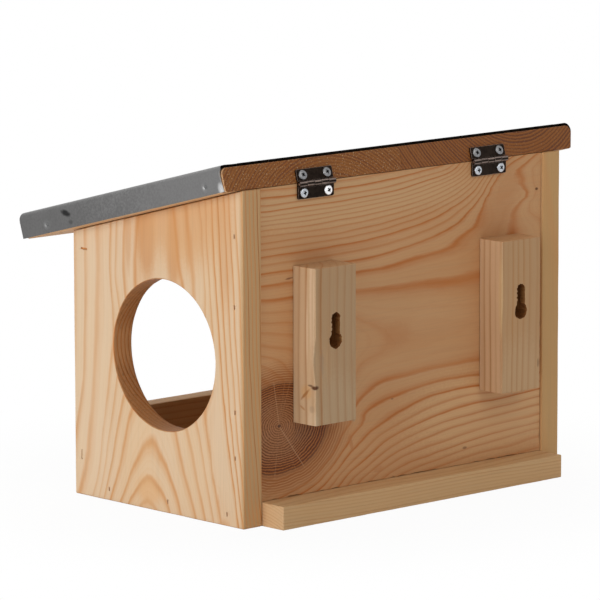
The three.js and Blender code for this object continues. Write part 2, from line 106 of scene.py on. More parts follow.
class Nodes:
    """The node tree of a material or a world. Each method adds a node and gives back its output."""

    def __init__(self, owner: Finish | bpy.types.World) -> None:
        """Empties the tree.

        Args:
            owner: the material or the world that the tree belongs to.
        """
        owner.use_nodes = True
        self.owner = owner
        self.tree = owner.node_tree
        self.tree.nodes.clear()

    def add(
        self, kind: str, inputs: dict[str | int, Value] | None = None, **settings: object
    ) -> bpy.types.Node:
        """Adds a node, with its settings and its inputs.

        Args:
            kind: the node's Blender type, without its ShaderNode prefix.
            inputs: values or outputs for the node's inputs.
            **settings: the node's own properties.

        Returns:
            The node.
        """
        node = self.tree.nodes.new("ShaderNode" + kind)
        for key, setting in settings.items():
            setattr(node, key, setting)
        for key, value in (inputs or {}).items():
            self.feed(node.inputs[key], value)
        return node

    def feed(self, socket: Socket, value: Value) -> None:
        """Links an output to an input, or sets the input's own value.

        Args:
            socket: the input.
            value: an output, a number, a vector or a colour.
        """
        if isinstance(value, bpy.types.NodeSocket):
            self.tree.links.new(value, socket)
        elif isinstance(value, tuple) and socket.type == "RGBA":
            socket.default_value = (*value[:3], 1.0)
        else:
            socket.default_value = value

    def math(self, operation: str, *values: Value, clamp: bool = False) -> Socket:
        """A Math node's result."""
        node = self.add("Math", dict(enumerate(values)), operation=operation, use_clamp=clamp)
        return node.outputs[0]

    def total(self, *values: Value) -> Socket:
        """The sum of several values."""
        return reduce(partial(self.math, "ADD"), values)

    def product(self, *values: Value) -> Socket:
        """The product of several values."""
        return reduce(partial(self.math, "MULTIPLY"), values)

    def length(self, *values: Value) -> Socket:
        """The length of a vector of up to three parts."""
        node = self.add("CombineXYZ", dict(enumerate(values)))
        return self.add("VectorMath", {0: node.outputs[0]}, operation="LENGTH").outputs["Value"]

    def ramp(self, factor: Value, low: float, high: float, start: float = 0.0, end: float = 1.0) -> Socket:
        """A smooth step from start to end while the factor goes from low to high."""
        inputs = {"Value": factor, "From Min": low, "From Max": high, "To Min": start, "To Max": end}
        return self.add("MapRange", inputs, interpolation_type="SMOOTHSTEP").outputs["Result"]

    def stops(self, factor: Value, stops: Sequence[tuple[float, Colour | float]]) -> Socket:
        """A colour ramp.

        Args:
            factor: where on the ramp.
            stops: positions with their colours or grey values.

        Returns:
            The colour.
        """
        node = self.add("ValToRGB", {0: factor})
        elements = node.color_ramp.elements
        while len(elements) < len(stops):
            elements.new(1.0)
        for element, (position, value) in zip(elements, stops):
            element.position = position
            element.color = (*value, 1.0) if isinstance(value, tuple) else (value, value, value, 1.0)
        return node.outputs["Color"]

    def table(self, number: Value, first: int, values: Sequence[float]) -> Socket:
        """One value for each whole number from the first on.

        Args:
            number: a whole number.
            first: the number of the first value.
            values: the values.

        Returns:
            The number's value.
        """
        steps = [((i - 0.5) / len(values) if i else 0.0, value) for i, value in enumerate(values)]
        part = self.product(self.math("SUBTRACT", number, float(first)), 1.0 / len(values))
        top = max(1.0, *values)
        result = self.stops(part, [(place, value / top) for place, value in steps])
        result.node.color_ramp.interpolation = "CONSTANT"
        return self.product(result, top)

    def mix(self, factor: Value, first: Value, second: Value) -> Socket:
        """Two colours mixed."""
        return self.add("Mix", {0: factor, 6: first, 7: second}, data_type="RGBA").outputs[2]

    def tinted(self, colour: Value, tint: Value) -> Socket:
        """A colour multiplied by another."""
        inputs = {0: 1.0, 6: colour, 7: tint}
        return self.add("Mix", inputs, data_type="RGBA", blend_type="MULTIPLY").outputs[2]

    def noise(self, vector: Value, scale: float, detail: float = 2.0, rough: float = 0.5) -> Socket:
        """A noise texture's value, about 0.5 on average."""
        inputs = {"Vector": vector, "Scale": scale, "Detail": detail, "Roughness": rough}
        return self.add("TexNoise", inputs).outputs[0]

    def grained(
        self, place: Value, scale: Triple, shift: float, detail: float = 2.0, rough: float = 0.5
    ) -> Socket:
        """A noise with a scale of its own along each axis, so that it lies along the grain."""
        inputs = {"Vector": place, "Scale": scale, "Location": (shift, shift, shift)}
        return self.noise(self.add("Mapping", inputs).outputs[0], 1.0, detail, rough)

    def bump(self, height: Value, distance: float, strength: float = 1.0) -> Socket:
        """A normal from a height."""
        inputs = {"Height": height, "Distance": distance, "Strength": strength}
        return self.add("Bump", inputs).outputs[0]

    def seen(self) -> Socket:
        """1 for what the camera sees, also in a gloss or through a clear piece, and 0 for other light."""
        path = self.add("LightPath").outputs
        shown = self.math("MAXIMUM", path["Is Camera Ray"], path["Is Glossy Ray"])
        return self.math("MAXIMUM", shown, path["Is Transmission Ray"])

    def surface(self, **inputs: Value) -> Finish:
        """Ends the tree with a Principled shader.

        Args:
            **inputs: the shader's inputs, with _ for the spaces in their names.

        Returns:
            The finished material.
        """
        shader = self.add("BsdfPrincipled", {key.replace("_", " "): value for key, value in inputs.items()})
        self.add("OutputMaterial", {"Surface": shader.outputs[0]})
        return self.owner


# Growth


@dataclass(frozen=True)
class Growth:
    """Where each growth ring of a board lies, in the board's own frame."""

    def count(self, spots: np.ndarray) -> np.ndarray:
        """The ring numbers at places in the board, whole on the dark line that ends each year.

        Args:
            spots: the places, one in each row.

        Returns:
            Their ring numbers.
        """
        raise NotImplementedError


@dataclass(frozen=True)
class Log(Growth):
    """A board sawn out of a slightly bent and tapered log."""

    centre: float
    depth: float
    taper: float
    ring: float
    tilt: float = 0.0
    sway: float = 2.2 * MM

    def count(self, spots: np.ndarray) -> np.ndarray:
        """The distance from the pith in rings, with the log's slow bends.

        Args:
            spots: the places, one in each row.

        Returns:
            Their ring numbers.
        """
        along, across, through = spots.T
        seed = Vector((self.ring * 3000, 0, 0))
        bend = np.array([noise.noise(Vector(spot) * 9.0 + seed) for spot in spots])
        aside = across - self.centre + self.tilt * along
        reach = np.hypot(aside, self.depth + self.taper * along + through)
        return (reach + self.sway * bend) / self.ring


@dataclass(frozen=True)
class Traced(Growth):
    """A board whose rings follow lines measured on its face.

    A line is its ring number and then its points, each in mm along and across the grain.
    """

    lines: tuple[Line, ...]
    inward: float
    pull: float = 0.4
    slack: float = 3.0

    def count(self, spots: np.ndarray) -> np.ndarray:
        """A thin plate bent through the lines, and so many rings a metre into the board.

        Args:
            spots: the places, one in each row.

        Returns:
            Their ring numbers.
        """
        stretch = np.array((self.pull, 1.0))
        known = np.concatenate([np.reshape(line[1:], (-1, 2)) for line in self.lines]) * stretch
        rings = np.repeat([line[0] for line in self.lines], [len(line) // 2 for line in self.lines])
        size = len(known)
        system = np.zeros((size + 3, size + 3))
        system[:size, :size] = self.plate(known, known) + self.slack * np.eye(size)
        system[:size, size:] = self.flat(known)
        system[size:, :size] = self.flat(known).T
        weights = np.linalg.solve(system, np.concatenate((rings, np.zeros(3))))
        asked = spots[:, :2] / MM * stretch
        bent = self.plate(asked, known) @ weights[:size] + self.flat(asked) @ weights[size:]
        return bent + self.inward * spots[:, 2]

    def plate(self, first: np.ndarray, second: np.ndarray) -> np.ndarray:
        """How much each place of the second set bends the plate at each of the first."""
        square = ((first[:, None, :] - second[None, :, :]) ** 2).sum(-1)
        return 0.5 * square * np.log(square + 1e-9)

    def flat(self, places: np.ndarray) -> np.ndarray:
        """The plate's level and slopes at each place."""
        return np.column_stack((np.ones(len(places)), places / 100))


# Finishes


@dataclass(frozen=True)
class Knot:
    """A branch's section on the face of a board, with its reach to the side, up and down."""

    along: float
    across: float
    radius: float
    up: float = 1.0
    down: float = 1.0
    ring: float = 2.0 * MM
    cracks: tuple[float, ...] = ()
    dark: Colour = (0.115, 0.033, 0.0095)
    pale: Colour = (0.46, 0.155, 0.038)
    core: Colour = (0.42, 0.185, 0.076)
    rim: Colour = (0.32, 0.105, 0.026)
    crack: Colour = (0.58, 0.33, 0.17)
    heart: Colour = (0.05, 0.02, 0.012)


@dataclass(frozen=True)
class Patch:
    """A soft-edged patch of another tone, in the frame of the piece that it lies on."""

    place: Triple
    reach: Triple
    tone: Colour
    share: float
    turn: Triple = (0.0, 0.0, 0.0)
    ragged: float = 0.5

    def lay(self, nodes: Nodes, place: Socket, colour: Socket) -> Socket:
        """Lays the patch over a colour.

        Args:
            nodes: the tree.
            place: object coordinates.
            colour: the colour without it.

        Returns:
            The colour with it.
        """
        inputs = {"Vector": place, "Location": self.place, "Rotation": self.turn, "Scale": self.reach}
        near = nodes.add("Mapping", inputs, vector_type="TEXTURE").outputs[0]
        away = nodes.add("VectorMath", {0: near}, operation="LENGTH").outputs["Value"]
        torn = nodes.math("SUBTRACT", nodes.noise(place, 500.0, 3.0), 0.5)
        away = nodes.math("ADD", away, nodes.product(torn, self.ragged))
        return nodes.mix(nodes.ramp(away, 0.4, 1.0, self.share, 0.0), colour, self.tone)


@dataclass(frozen=True)
class Pine:
    """Planed or sawn pine with its growth rings all through, so end grain and face grain agree."""

    name: str
    pale: Colour = (0.755, 0.560, 0.375)
    late: Colour = (0.640, 0.300, 0.105)
    warm: Colour = (0.750, 0.530, 0.325)
    deep: Colour = (0.24, 0.09, 0.03)
    contrast: float = 1.0
    rise: float = 0.36
    fall: float = 0.17
    years: tuple[float, ...] = ()
    first: int = 0
    unrest: float = 0.10
    end_grain: Colour = (0.72, 0.60, 0.50)
    end_deep: float = 0.0
    fibre: float = 0.05
    seed: float = 0.0
    knots: tuple[Knot, ...] = ()
    patches: tuple[Patch, ...] = ()
    spots: tuple[Patch, ...] = ()
    flecks: float = 0.0
    fleck: Colour = (0.62, 0.44, 0.24)
    # A colour multiplied over the whole. Inside the keyhole it is painted shade, and on the entry hole's
    # wall it is partly so.
    shade: Colour = WHITE

    def material(self) -> Finish:
        """Builds the node tree.

        Returns:
            The material.
        """
        nodes = Nodes(bpy.data.materials.new(self.name))
        place = nodes.add("TexCoord").outputs["Object"]
        rings = self.rings(nodes, place)
        late, strong, glow = self.latewood(nodes, rings, place)
        fibres = nodes.grained(place, (14, 900, 900), self.seed, 4.0, 0.65)
        cloud = nodes.grained(place, (9, 30, 30), self.seed + 3, 3.0)
        ground = nodes.mix(nodes.ramp(cloud, 0.35, 0.7), self.pale, self.warm)
        ground = nodes.mix(nodes.product(glow, 0.5), ground, self.warm)
        for patch in self.patches:
            ground = patch.lay(nodes, place, ground)
        colour = nodes.mix(nodes.product(late, self.contrast), ground, self.late)
        colour = nodes.mix(strong, colour, self.deep)
        colour = nodes.tinted(colour, self.fibre_shade(nodes, fibres))
        colour = nodes.mix(self.streaks(nodes, place), colour, self.late)
        height = nodes.total(nodes.product(late, -0.4), fibres)
        for knot in self.knots:
            colour, height = self.with_knot(nodes, knot, place, colour, height)
        for spot in self.spots:
            colour = spot.lay(nodes, place, colour)
        end = self.end_share(nodes)
        colour = nodes.tinted(colour, nodes.mix(end, WHITE, self.end_grain))
        if self.end_deep:
            broad = nodes.ramp(late, 0.02, 0.5)
            colour = nodes.mix(nodes.product(broad, end, self.end_deep), colour, self.deep)
        if self.flecks:
            pores = nodes.grained(place, (60, 1100, 1100), self.seed)
            colour = nodes.mix(nodes.ramp(pores, 0.60, 0.68, 0.0, self.flecks), colour, self.fleck)
        if self.shade != WHITE:
            colour = nodes.tinted(colour, self.shade)
        rough = nodes.ramp(nodes.total(fibres, nodes.product(late, -0.25)), 0.2, 0.9, 0.55, 0.85)
        normal = nodes.bump(height, 0.25 * MM, 0.6)
        return nodes.surface(Base_Color=colour, Roughness=rough, Normal=normal, Specular_IOR_Level=0.3)

    def rings(self, nodes: Nodes, place: Socket) -> Socket:
        """The board's ring number, with the small unevenness of its lines.

        Args:
            nodes: the tree.
            place: object coordinates.

        Returns:
            The ring number, whole on each year's dark line.
        """
        grown = nodes.add("Attribute", attribute_name="rings", attribute_type="GEOMETRY").outputs["Fac"]
        slow = nodes.grained(place, (22, 90, 90), self.seed)
        fine = nodes.grained(place, (80, 420, 420), self.seed)
        unrest = nodes.total(nodes.product(slow, 2.0 * self.unrest), nodes.product(fine, 1.1 * self.unrest))
        return nodes.total(grown, unrest, -1.55 * self.unrest)

    def latewood(self, nodes: Nodes, rings: Socket, place: Socket) -> tuple[Socket, Socket, Socket]:
        """The dark line that ends each year, and the warm tone that leads up to it.

        Args:
            nodes: the tree.
            rings: the ring number.
            place: object coordinates.

        Returns:
            How dark the line is, how far past that it goes, and how far the year has come.
        """
        half = nodes.math("ADD", rings, 0.5)
        year, part = nodes.math("FLOOR", half), nodes.math("FRACT", half)
        shape = [(0.0, 0.0), (0.5 - self.rise, 0.04), (0.5 - 0.4 * self.rise, 0.42), (0.49, 1.0)]
        shape += [(0.5 + 0.35 * self.fall, 0.85), (0.5 + self.fall, 0.06), (1.0, 0.0)]
        line = nodes.stops(part, shape)
        if self.years:
            strength = nodes.table(year, self.first, self.years)
        else:
            number = {"W": nodes.math("ADD", year, self.seed)}
            own = nodes.add("TexWhiteNoise", number, noise_dimensions="1D").outputs["Value"]
            strength = nodes.ramp(own, 0.0, 1.0, 0.35, 1.0)
        drift = nodes.grained(place, (16, 60, 60), self.seed + 5, 1.0)
        strength = nodes.product(strength, nodes.ramp(drift, 0.25, 0.75, 0.75, 1.1))
        fine = nodes.math("FRACT", nodes.product(rings, 4.3))
        faint = nodes.stops(fine, [(0.0, 0.0), (0.5, 0.1), (0.8, 1.0), (1.0, 0.0)])
        both = nodes.math("ADD", nodes.product(line, strength), nodes.product(faint, 0.10))
        late = nodes.math("MINIMUM", both, 1.0)
        strong = nodes.math("SUBTRACT", both, 1.0, clamp=True)
        return late, strong, nodes.math("FRACT", rings)

    def fibre_shade(self, nodes: Nodes, fibres: Socket) -> Socket:
        """Fine light and dark fibres, as a grey to multiply by."""
        greys = [(0.25, 1.0 - 2.0 * self.fibre), (0.5, 1.0 - 0.5 * self.fibre), (0.75, 1.0)]
        return nodes.stops(fibres, greys)

    def streaks(self, nodes: Nodes, place: Socket) -> Socket:
        """Short resin ducts along the grain."""
        dashes = nodes.grained(place, (55, 1500, 1500), self.seed + 7, 1.0)
        return nodes.ramp(dashes, 0.70, 0.80, 0.0, 0.2)

    def end_share(self, nodes: Nodes) -> Socket:
        """1 where the fibres are cut across, 0 on the faces along the grain."""
        along = nodes.add("SeparateXYZ", {0: nodes.add("TexCoord").outputs["Normal"]}).outputs[0]
        return nodes.ramp(nodes.math("ABSOLUTE", along), 0.12, 0.4)

    def with_knot(
        self, nodes: Nodes, knot: Knot, place: Socket, colour: Socket, height: Socket
    ) -> tuple[Socket, Socket]:
        """Sets a knot into the wood.

        Args:
            nodes: the tree.
            knot: the knot.
            place: object coordinates.
            colour: the wood's colour without it.
            height: the wood's height without it.

        Returns:
            The colour and the height with it.
        """
        parts = nodes.add("SeparateXYZ", {0: place}).outputs
        u = nodes.math("SUBTRACT", parts[0], knot.along)
        v = nodes.math("SUBTRACT", parts[1], knot.across)
        radius = knot.radius
        stretch = nodes.ramp(v, -0.2 * radius, 0.2 * radius, 1 / knot.down, 1 / knot.up)
        angle = nodes.math("ARCTAN2", v, u)
        uneven = nodes.noise(place, 2.2 / radius, 3.0, 0.6)
        wave = nodes.product(nodes.math("SUBTRACT", uneven, 0.5), 0.14 * radius)
        distance = nodes.math("ADD", nodes.length(u, nodes.product(v, stretch), 0.0), wave)
        inside = nodes.ramp(distance, 0.84 * radius, 1.04 * radius, 1.0, 0.0)

        spread = nodes.math("POWER", nodes.product(distance, 1 / radius), 0.9)
        part = nodes.math("FRACT", nodes.product(spread, radius / knot.ring))
        shape = [(0.0, 0.1), (0.12, 0.0), (0.3, 0.25), (0.55, 0.9), (0.8, 1.0), (1.0, 0.1)]
        line = nodes.stops(part, shape)
        line = nodes.math("POWER", line, nodes.ramp(distance, 0.5 * radius, 0.95 * radius, 1.3, 0.5))
        depth = nodes.ramp(distance, 0.25 * radius, 0.75 * radius, 0.65, 1.0)
        mottle = nodes.ramp(nodes.noise(place, 900.0), 0.35, 0.7, 0.0, 0.3)
        outward = nodes.ramp(distance, 0.45 * radius, 0.85 * radius)
        pale = nodes.mix(outward, knot.core, knot.pale)
        wood = nodes.mix(nodes.total(nodes.product(line, depth), mottle), pale, knot.dark)

        inputs = {"W": nodes.product(angle, 11.0), "Scale": 1.0, "Detail": 4.0}
        rays = nodes.add("TexNoise", inputs, noise_dimensions="1D").outputs[0]
        light = nodes.ramp(rays, 0.62, 0.72, 0.0, 0.12)
        for crack in knot.cracks:
            off = nodes.math("ABSOLUTE", nodes.math("SUBTRACT", angle, crack))
            thin = nodes.ramp(nodes.product(off, distance), 0.1 * MM, 0.7 * MM, 0.4, 0.0)
            there = nodes.product(thin, nodes.ramp(off, 0.3, 0.5, 1.0, 0.0))
            light = nodes.math("MAXIMUM", light, there)
        wood = nodes.mix(light, wood, knot.crack)
        wood = nodes.mix(nodes.ramp(distance, 0.0, 0.05 * radius, 0.9, 0.0), wood, knot.heart)

        rim = nodes.product(
            nodes.ramp(distance, 0.88 * radius, 0.98 * radius),
            nodes.ramp(distance, radius, 1.5 * radius, 1.0, 0.0),
            nodes.total(0.2, nodes.product(line, 0.7)),
        )
        ringed = nodes.mix(rim, nodes.mix(inside, colour, wood), knot.rim)
        return ringed, nodes.total(height, nodes.product(inside, line, -0.6))


@dataclass(frozen=True)
class Metal:
    """Metal with fine mottling in its colour and roughness."""

    name: str
    colour: Colour
    second: Colour
    grain: float
    rough: Point = (0.3, 0.5)
    metallic: float = 1.0
    bump: float = 0.02 * MM
    gloss: float = 0.5
    patches: tuple[Patch, ...] = ()

    def material(self) -> Finish:
        """Builds the node tree.

        Returns:
            The material.
        """
        nodes = Nodes(bpy.data.materials.new(self.name))
        place = nodes.add("TexCoord").outputs["Object"]
        fine = nodes.noise(place, self.grain, 3.0, 0.6)
        broad = nodes.noise(place, self.grain / 14)
        tone = nodes.total(nodes.product(fine, 0.6), nodes.product(broad, 0.4))
        colour = nodes.mix(nodes.ramp(tone, 0.38, 0.62), self.colour, self.second)
        for patch in self.patches:
            colour = patch.lay(nodes, place, colour)
        rough = nodes.ramp(fine, 0.3, 0.7, *self.rough)
        normal = nodes.bump(fine, self.bump)
        return nodes.surface(
            Base_Color=colour,
            Metallic=self.metallic,
            Roughness=rough,
            Normal=normal,
            Specular_IOR_Level=self.gloss,
        )


@dataclass(frozen=True)
class Lamp:
    """A square soft lamp that faces the middle of the feeder."""

    name: str
    place: Vector
    size: float
    power: float
    colour: Colour = WHITE
    middle: Vector = Vector((0, 0, 0.1))

    def hang(self) -> None:
        """Adds the lamp."""
        data = bpy.data.lights.new(self.name, "AREA")
        data.size = self.size
        data.energy = self.power
        data.color = self.colour
        lamp = bpy.data.objects.new(self.name, data)
        aim = (self.middle - self.place).to_track_quat("-Z", "Y")
        lamp.matrix_world = Matrix.Translation(self.place) @ aim.to_matrix().to_4x4()
        bpy.context.scene.collection.objects.link(lamp)


@dataclass(frozen=True)
class Studio:
    """Camera, lamps and surroundings."""

    place: Vector = Vector((2.0765, 2.2085, 0.6034))
    azimuth: float = math.radians(136.99)
    elevation: float = math.radians(9.145)
    roll: float = -0.00211
    lens: float = 294.9
    sensor: float = 36.0
    lamps: tuple[Lamp, ...] = (
        Lamp("lamp_side", Vector((2.9, 0.15, 0.62)), 1.7, 44.5),
        Lamp("lamp_rear", Vector((0.5, 2.6, 2.1)), 2.2, 19.0, (1.0, 0.97, 0.92)),
        Lamp("lamp_top", Vector((-0.6, -1.2, 2.8)), 2.0, 34.0),
    )
    world: float = 0.288
    paper: float = 0.95
    paper_end: Point = (0.15, 0.32)
    floor_half: float = 30.0
    floor_drop: float = 0.3 * MM

    def camera(self) -> None:
        """Sets up the camera at the photograph's place."""
        flat, rise = math.cos(self.elevation), math.sin(self.elevation)
        back = Vector((math.sin(self.azimuth) * flat, -math.cos(self.azimuth) * flat, rise))
        right = (-back).cross(Axis.Z.value).normalized()
        up = right.cross(-back)
        turn = math.cos(self.roll), math.sin(self.roll)
        columns = (turn[0] * right + turn[1] * up, -turn[1] * right + turn[0] * up, back)
        data = bpy.data.cameras.new("camera")
        data.lens = self.lens
        data.sensor_width = self.sensor
        data.clip_end = 50.0
        camera = bpy.data.objects.new("camera", data)
        camera.matrix_world = Matrix.Translation(self.place) @ Matrix(columns).transposed().to_4x4()
        bpy.context.scene.collection.objects.link(camera)
        bpy.context.scene.camera = camera

    def surroundings(self) -> None:
        """Adds the lamps, a plain white world and the floor."""
        for lamp in self.lamps:
            lamp.hang()
        nodes = Nodes(bpy.data.worlds.new("world"))
        level = nodes.add("MapRange", {"Value": nodes.seen(), "To Min": self.world, "To Max": 1.0})
        light = nodes.add("Background", {"Color": WHITE, "Strength": level.outputs[0]})
        nodes.add("OutputWorld", {"Surface": light.outputs[0]})
        bpy.context.scene.world = nodes.owner
        bpy.context.scene.view_settings.view_transform = "Standard"
        self.floor()

    def floor(self) -> None:
        """Adds a plain pale floor just under the box. It keeps the soft shadow and fades to plain white."""
        data = bpy.data.meshes.new("floor")
        side, low = self.floor_half, -self.floor_drop
        corners = [(-side, -side, low), (side, -side, low), (side, side, low), (-side, side, low)]
        data.from_pydata(corners, [], [(0, 1, 2, 3)])
        floor = bpy.data.objects.new("floor", data)
        bpy.context.scene.collection.objects.link(floor)
        nodes = Nodes(bpy.data.materials.new("floor"))
        place = nodes.add("TexCoord").outputs["Object"]
        tone = nodes.stops(nodes.noise(place, 3.0), [(0.3, 0.93), (0.7, 0.95)])
        matt = nodes.add("BsdfDiffuse", {"Color": tone}).outputs[0]
        parts = nodes.add("SeparateXYZ", {0: place}).outputs
        away = nodes.length(parts[0], parts[1])
        white = nodes.product(nodes.ramp(away, *self.paper_end, self.paper, 1.0), nodes.seen())
        paper = nodes.add("Emission", {"Strength": 1.0}).outputs[0]
        mixed = nodes.add("MixShader", {0: white, 1: matt, 2: paper}).outputs[0]
        nodes.add("OutputMaterial", {"Surface": mixed})
        data.materials.append(nodes.owner)


# Mesh making


def prism(outline: Sequence[Point], axis: Axis, low: float, high: float) -> Form:
    """A closed bar with a polygon section.

    Args:
        outline: the section's corners, in the two other directions in the order Y Z, X Z or X Y.
        axis: the direction that the bar runs in.
        low: where it starts.
        high: where it ends.

    Returns:
        The bar.
    """
    form = bmesh.new()

    def corner(a: float, b: float, level: float) -> Vector:
        """A section corner in space."""
        return Vector({Axis.X: (level, a, b), Axis.Y: (a, level, b), Axis.Z: (a, b, level)}[axis])

    bottom = [form.verts.new(corner(a, b, low)) for a, b in outline]
    top = [form.verts.new(corner(a, b, high)) for a, b in outline]
    form.faces.new(bottom)
    form.faces.new(top)
    for i in range(len(outline)):
        j = (i + 1) % len(outline)
        form.faces.new((bottom[i], bottom[j], top[j], top[i]))
    bmesh.ops.recalc_face_normals(form, faces=form.faces)
    return form


def block(low: Vector, high: Vector) -> Form:
    """A box between two corners."""
    outline = [(low.x, low.y), (high.x, low.y), (high.x, high.y), (low.x, high.y)]
    return prism(outline, Axis.Z, low.z, high.z)


def spread(start: float, end: float, count: int) -> list[float]:
    """Values in so many equal steps from start to end."""
    return [start + (end - start) * i / count for i in range(count + 1)]


def arc(centre: Point, radius: float, turns: Iterable[float]) -> list[Point]:
    """Points of a circle, one for each turn."""
    return [(centre[0] + radius * math.cos(turn), centre[1] + radius * math.sin(turn)) for turn in turns]


def ease(form: Form, radius: float, segments: int = 3) -> None:
    """Rounds every edge that turns by more than 30 degrees."""
    sharp = [edge for edge in form.edges if edge.calc_face_angle(0.0) > math.radians(30)]
    bmesh.ops.bevel(form, geom=sharp, offset=radius, segments=segments, profile=0.5, affect="EDGES")


def slice_up(form: Form, step: float, axes: Iterable[Axis] = Axis) -> None:
    """Cuts the faces into a grid, so that they can bend.

    Args:
        form: the mesh.
        step: the grid's spacing.
        axes: the directions to cut across.
    """
    for axis in axes:
        places = [vertex.co.dot(axis.value) for vertex in form.verts]
        low, high = min(places), max(places)
        count = max(1, round((high - low) / step))
        for i in range(1, count):
            at = low + (high - low) * i / count
            geometry = form.verts[:] + form.edges[:] + form.faces[:]
            bmesh.ops.bisect_plane(form, geom=geometry, plane_co=axis.value * at, plane_no=axis.value)


def weather(form: Form, seed: float, rough: float, chips: float) -> None:
    """Moves the faces a little and knocks chips out of the edges.

    Args:
        form: the mesh.
        seed: makes each board's wear its own.
        rough: how far a face may wander.
        chips: the deepest chip on an edge.
    """
    form.normal_update()
    moves = []
    for vertex in form.verts:
        normals = [face.normal for face in vertex.link_faces]
        edge = 1.0 - min(normal.dot(vertex.normal) for normal in normals)
        at = vertex.co + Vector((seed, -seed, 2 * seed))
        shift = rough * noise.noise(at * 55.0)
        bite = max(0.0, noise.noise(at * 160.0) - 0.15) + 0.5 * max(0.0, noise.noise(at * 520.0))
        moves.append(vertex.normal * (shift - chips * bite * min(1.0, 6.0 * edge)))
    for vertex, move in zip(form.verts, moves):
        vertex.co += move


def clamped(place: Sequence[float], low: Sequence[float], high: Sequence[float]) -> Vector:
    """The nearest place between two corners."""
    return Vector(min(max(at, a), b) for at, a, b in zip(place, low, high))


def hold(form: Form, low: Vector, high: Vector) -> None:
    """Keeps every point between two corners."""
    for vertex in form.verts:
        vertex.co = clamped(vertex.co, low, high)


def lathe(
    profile: Sequence[Point],
    sides: int,
    place: Matrix = Matrix.Identity(4),
    wave: Callable[[float], float] | None = None,
) -> Form:
    """A turned form about its own Z.

    Args:
        profile: radius and height of each ring. A radius of 0 closes the form.
        sides: facets round it.
        place: from the form's own frame to the part's.
        wave: what to add to a radius at an angle.

    Returns:
        The form.
    """
    form = bmesh.new()
    rings = []
    for radius, height in profile:
        if radius <= 0.0:
            rings.append([form.verts.new(place @ Vector((0, 0, height)))])
            continue
        ring = []
        for turn in spread(0.0, 2 * math.pi, sides)[:-1]:
            r = radius + (wave(turn) if wave else 0.0)
            ring.append(form.verts.new(place @ Vector((r * math.cos(turn), r * math.sin(turn), height))))
        rings.append(ring)
    for lower, upper in zip(rings, rings[1:]):
        for i in range(sides):
            j = i + 1
            ends = ((lower, i), (lower, j), (upper, j), (upper, i))
            form.faces.new(list(dict.fromkeys(ring[k % len(ring)] for ring, k in ends)))
    for ring in (rings[0], rings[-1]):
        if len(ring) > 1:
            form.faces.new(ring)
    bmesh.ops.recalc_face_normals(form, faces=form.faces)
    return form


def merge(forms: Iterable[Form]) -> Form:
    """Puts several forms in one mesh.

    Args:
        forms: the forms, used up here.

    Returns:
        The whole.
    """
    whole = bmesh.new()
    for form in forms:
        part = bpy.data.meshes.new("part")
        form.to_mesh(part)
        whole.from_mesh(part)
        bpy.data.meshes.remove(part)
        form.free()
    return whole


def to_object(form: Form, name: str) -> Piece:
    """Makes a form an object at the origin.

    Args:
        form: the form, used up here.
        name: the object's name.

    Returns:
        The object.
    """
    data = bpy.data.meshes.new(name)
    form.to_mesh(data)
    form.free()
    made = bpy.data.objects.new(name, data)
    bpy.context.scene.collection.objects.link(made)
    return made


def apply_modifiers(made: Piece) -> None:
    """Turns an object's modifiers into mesh.

    Args:
        made: the object.
    """
    graph = bpy.context.evaluated_depsgraph_get()
    result = bpy.data.meshes.new_from_object(made.evaluated_get(graph))
    made.modifiers.clear()
    old = made.data
    made.data = result
    bpy.data.meshes.remove(old)


class Work(Enum):
    """What a second form does to an object."""

    CUT = "DIFFERENCE"
    JOIN = "UNION"


def carve(made: Piece, form: Form, work: Work = Work.CUT) -> None:
    """Cuts a form out of an object, or joins it on.

    Args:
        made: the object.
        form: the second form, used up here.
        work: what the form does.
    """
    other = to_object(form, "cutter")
    modifier = made.modifiers.new("carve", "BOOLEAN")
    modifier.object = other
    modifier.operation = work.value
    modifier.solver = "EXACT"
    modifier.use_self = True
    apply_modifiers(made)
    other_data = other.data
    bpy.data.objects.remove(other)
    bpy.data.meshes.remove(other_data)


def smooth(made: Piece) -> None:
    """Shades an object smoothly, with crisp edges past an angle.

    Args:
        made: the object.
    """
    made.data.polygons.foreach_set("use_smooth", [True] * len(made.data.polygons))
    made.data.set_sharp_from_angle(angle=CRISP)
    weighted = made.modifiers.new("normals", "WEIGHTED_NORMAL")
    weighted.keep_sharp = True


class Slot(Enum):
    """The record's material slots."""

    PINE = "pine"
    BATTEN = "batten_pine"
    ROOF = "roof_pine"
    ZINC = "zinc_sheet"
    HINGE = "hinge_metal"
    SCREW = "screw_zinc"
    WIRE = "wire_steel"


def settle(
    made: Piece,
    body: str,
    node: str,
    materials: Sequence[Finish],
    wears: Sequence[int] = (),
) -> None:
    """Dresses a piece, hides the CAD node that it stands for and lets it ride on its body.

    Args:
        made: the piece.
        body: the CAD body's name.
        node: the CAD node that it stands for.
        materials: the piece's materials.
        wears: which of them each face wears, the first one where this is empty.
    """
    made.data.materials.clear()
    for material in materials:
        made.data.materials.append(material)
    smooth(made)
    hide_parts(node)
    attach(made, body)
    if wears:
        made.data.polygons.foreach_set("material_index", wears)
    LOG.info("%s: %d faces on %s", made.name, len(made.data.polygons), body)


def side_word(side: int) -> str:
    """The name of the side at +X or at -X."""
    return "right" if side > 0 else "left"


def extent(node: str, place: Matrix = Matrix.Identity(4)) -> tuple[Vector, Vector]:
    """The lowest and highest corners of a CAD node in a frame.

    Args:
        node: the CAD node.
        place: from that frame to the part's.

    Returns:
        The two corners.
    """
    back = place.inverted()
    corners = [back @ vertex.co for vertex in frame["nodes"][node].data.vertices]
    return Vector(map(min, zip(*corners))), Vector(map(max, zip(*corners)))


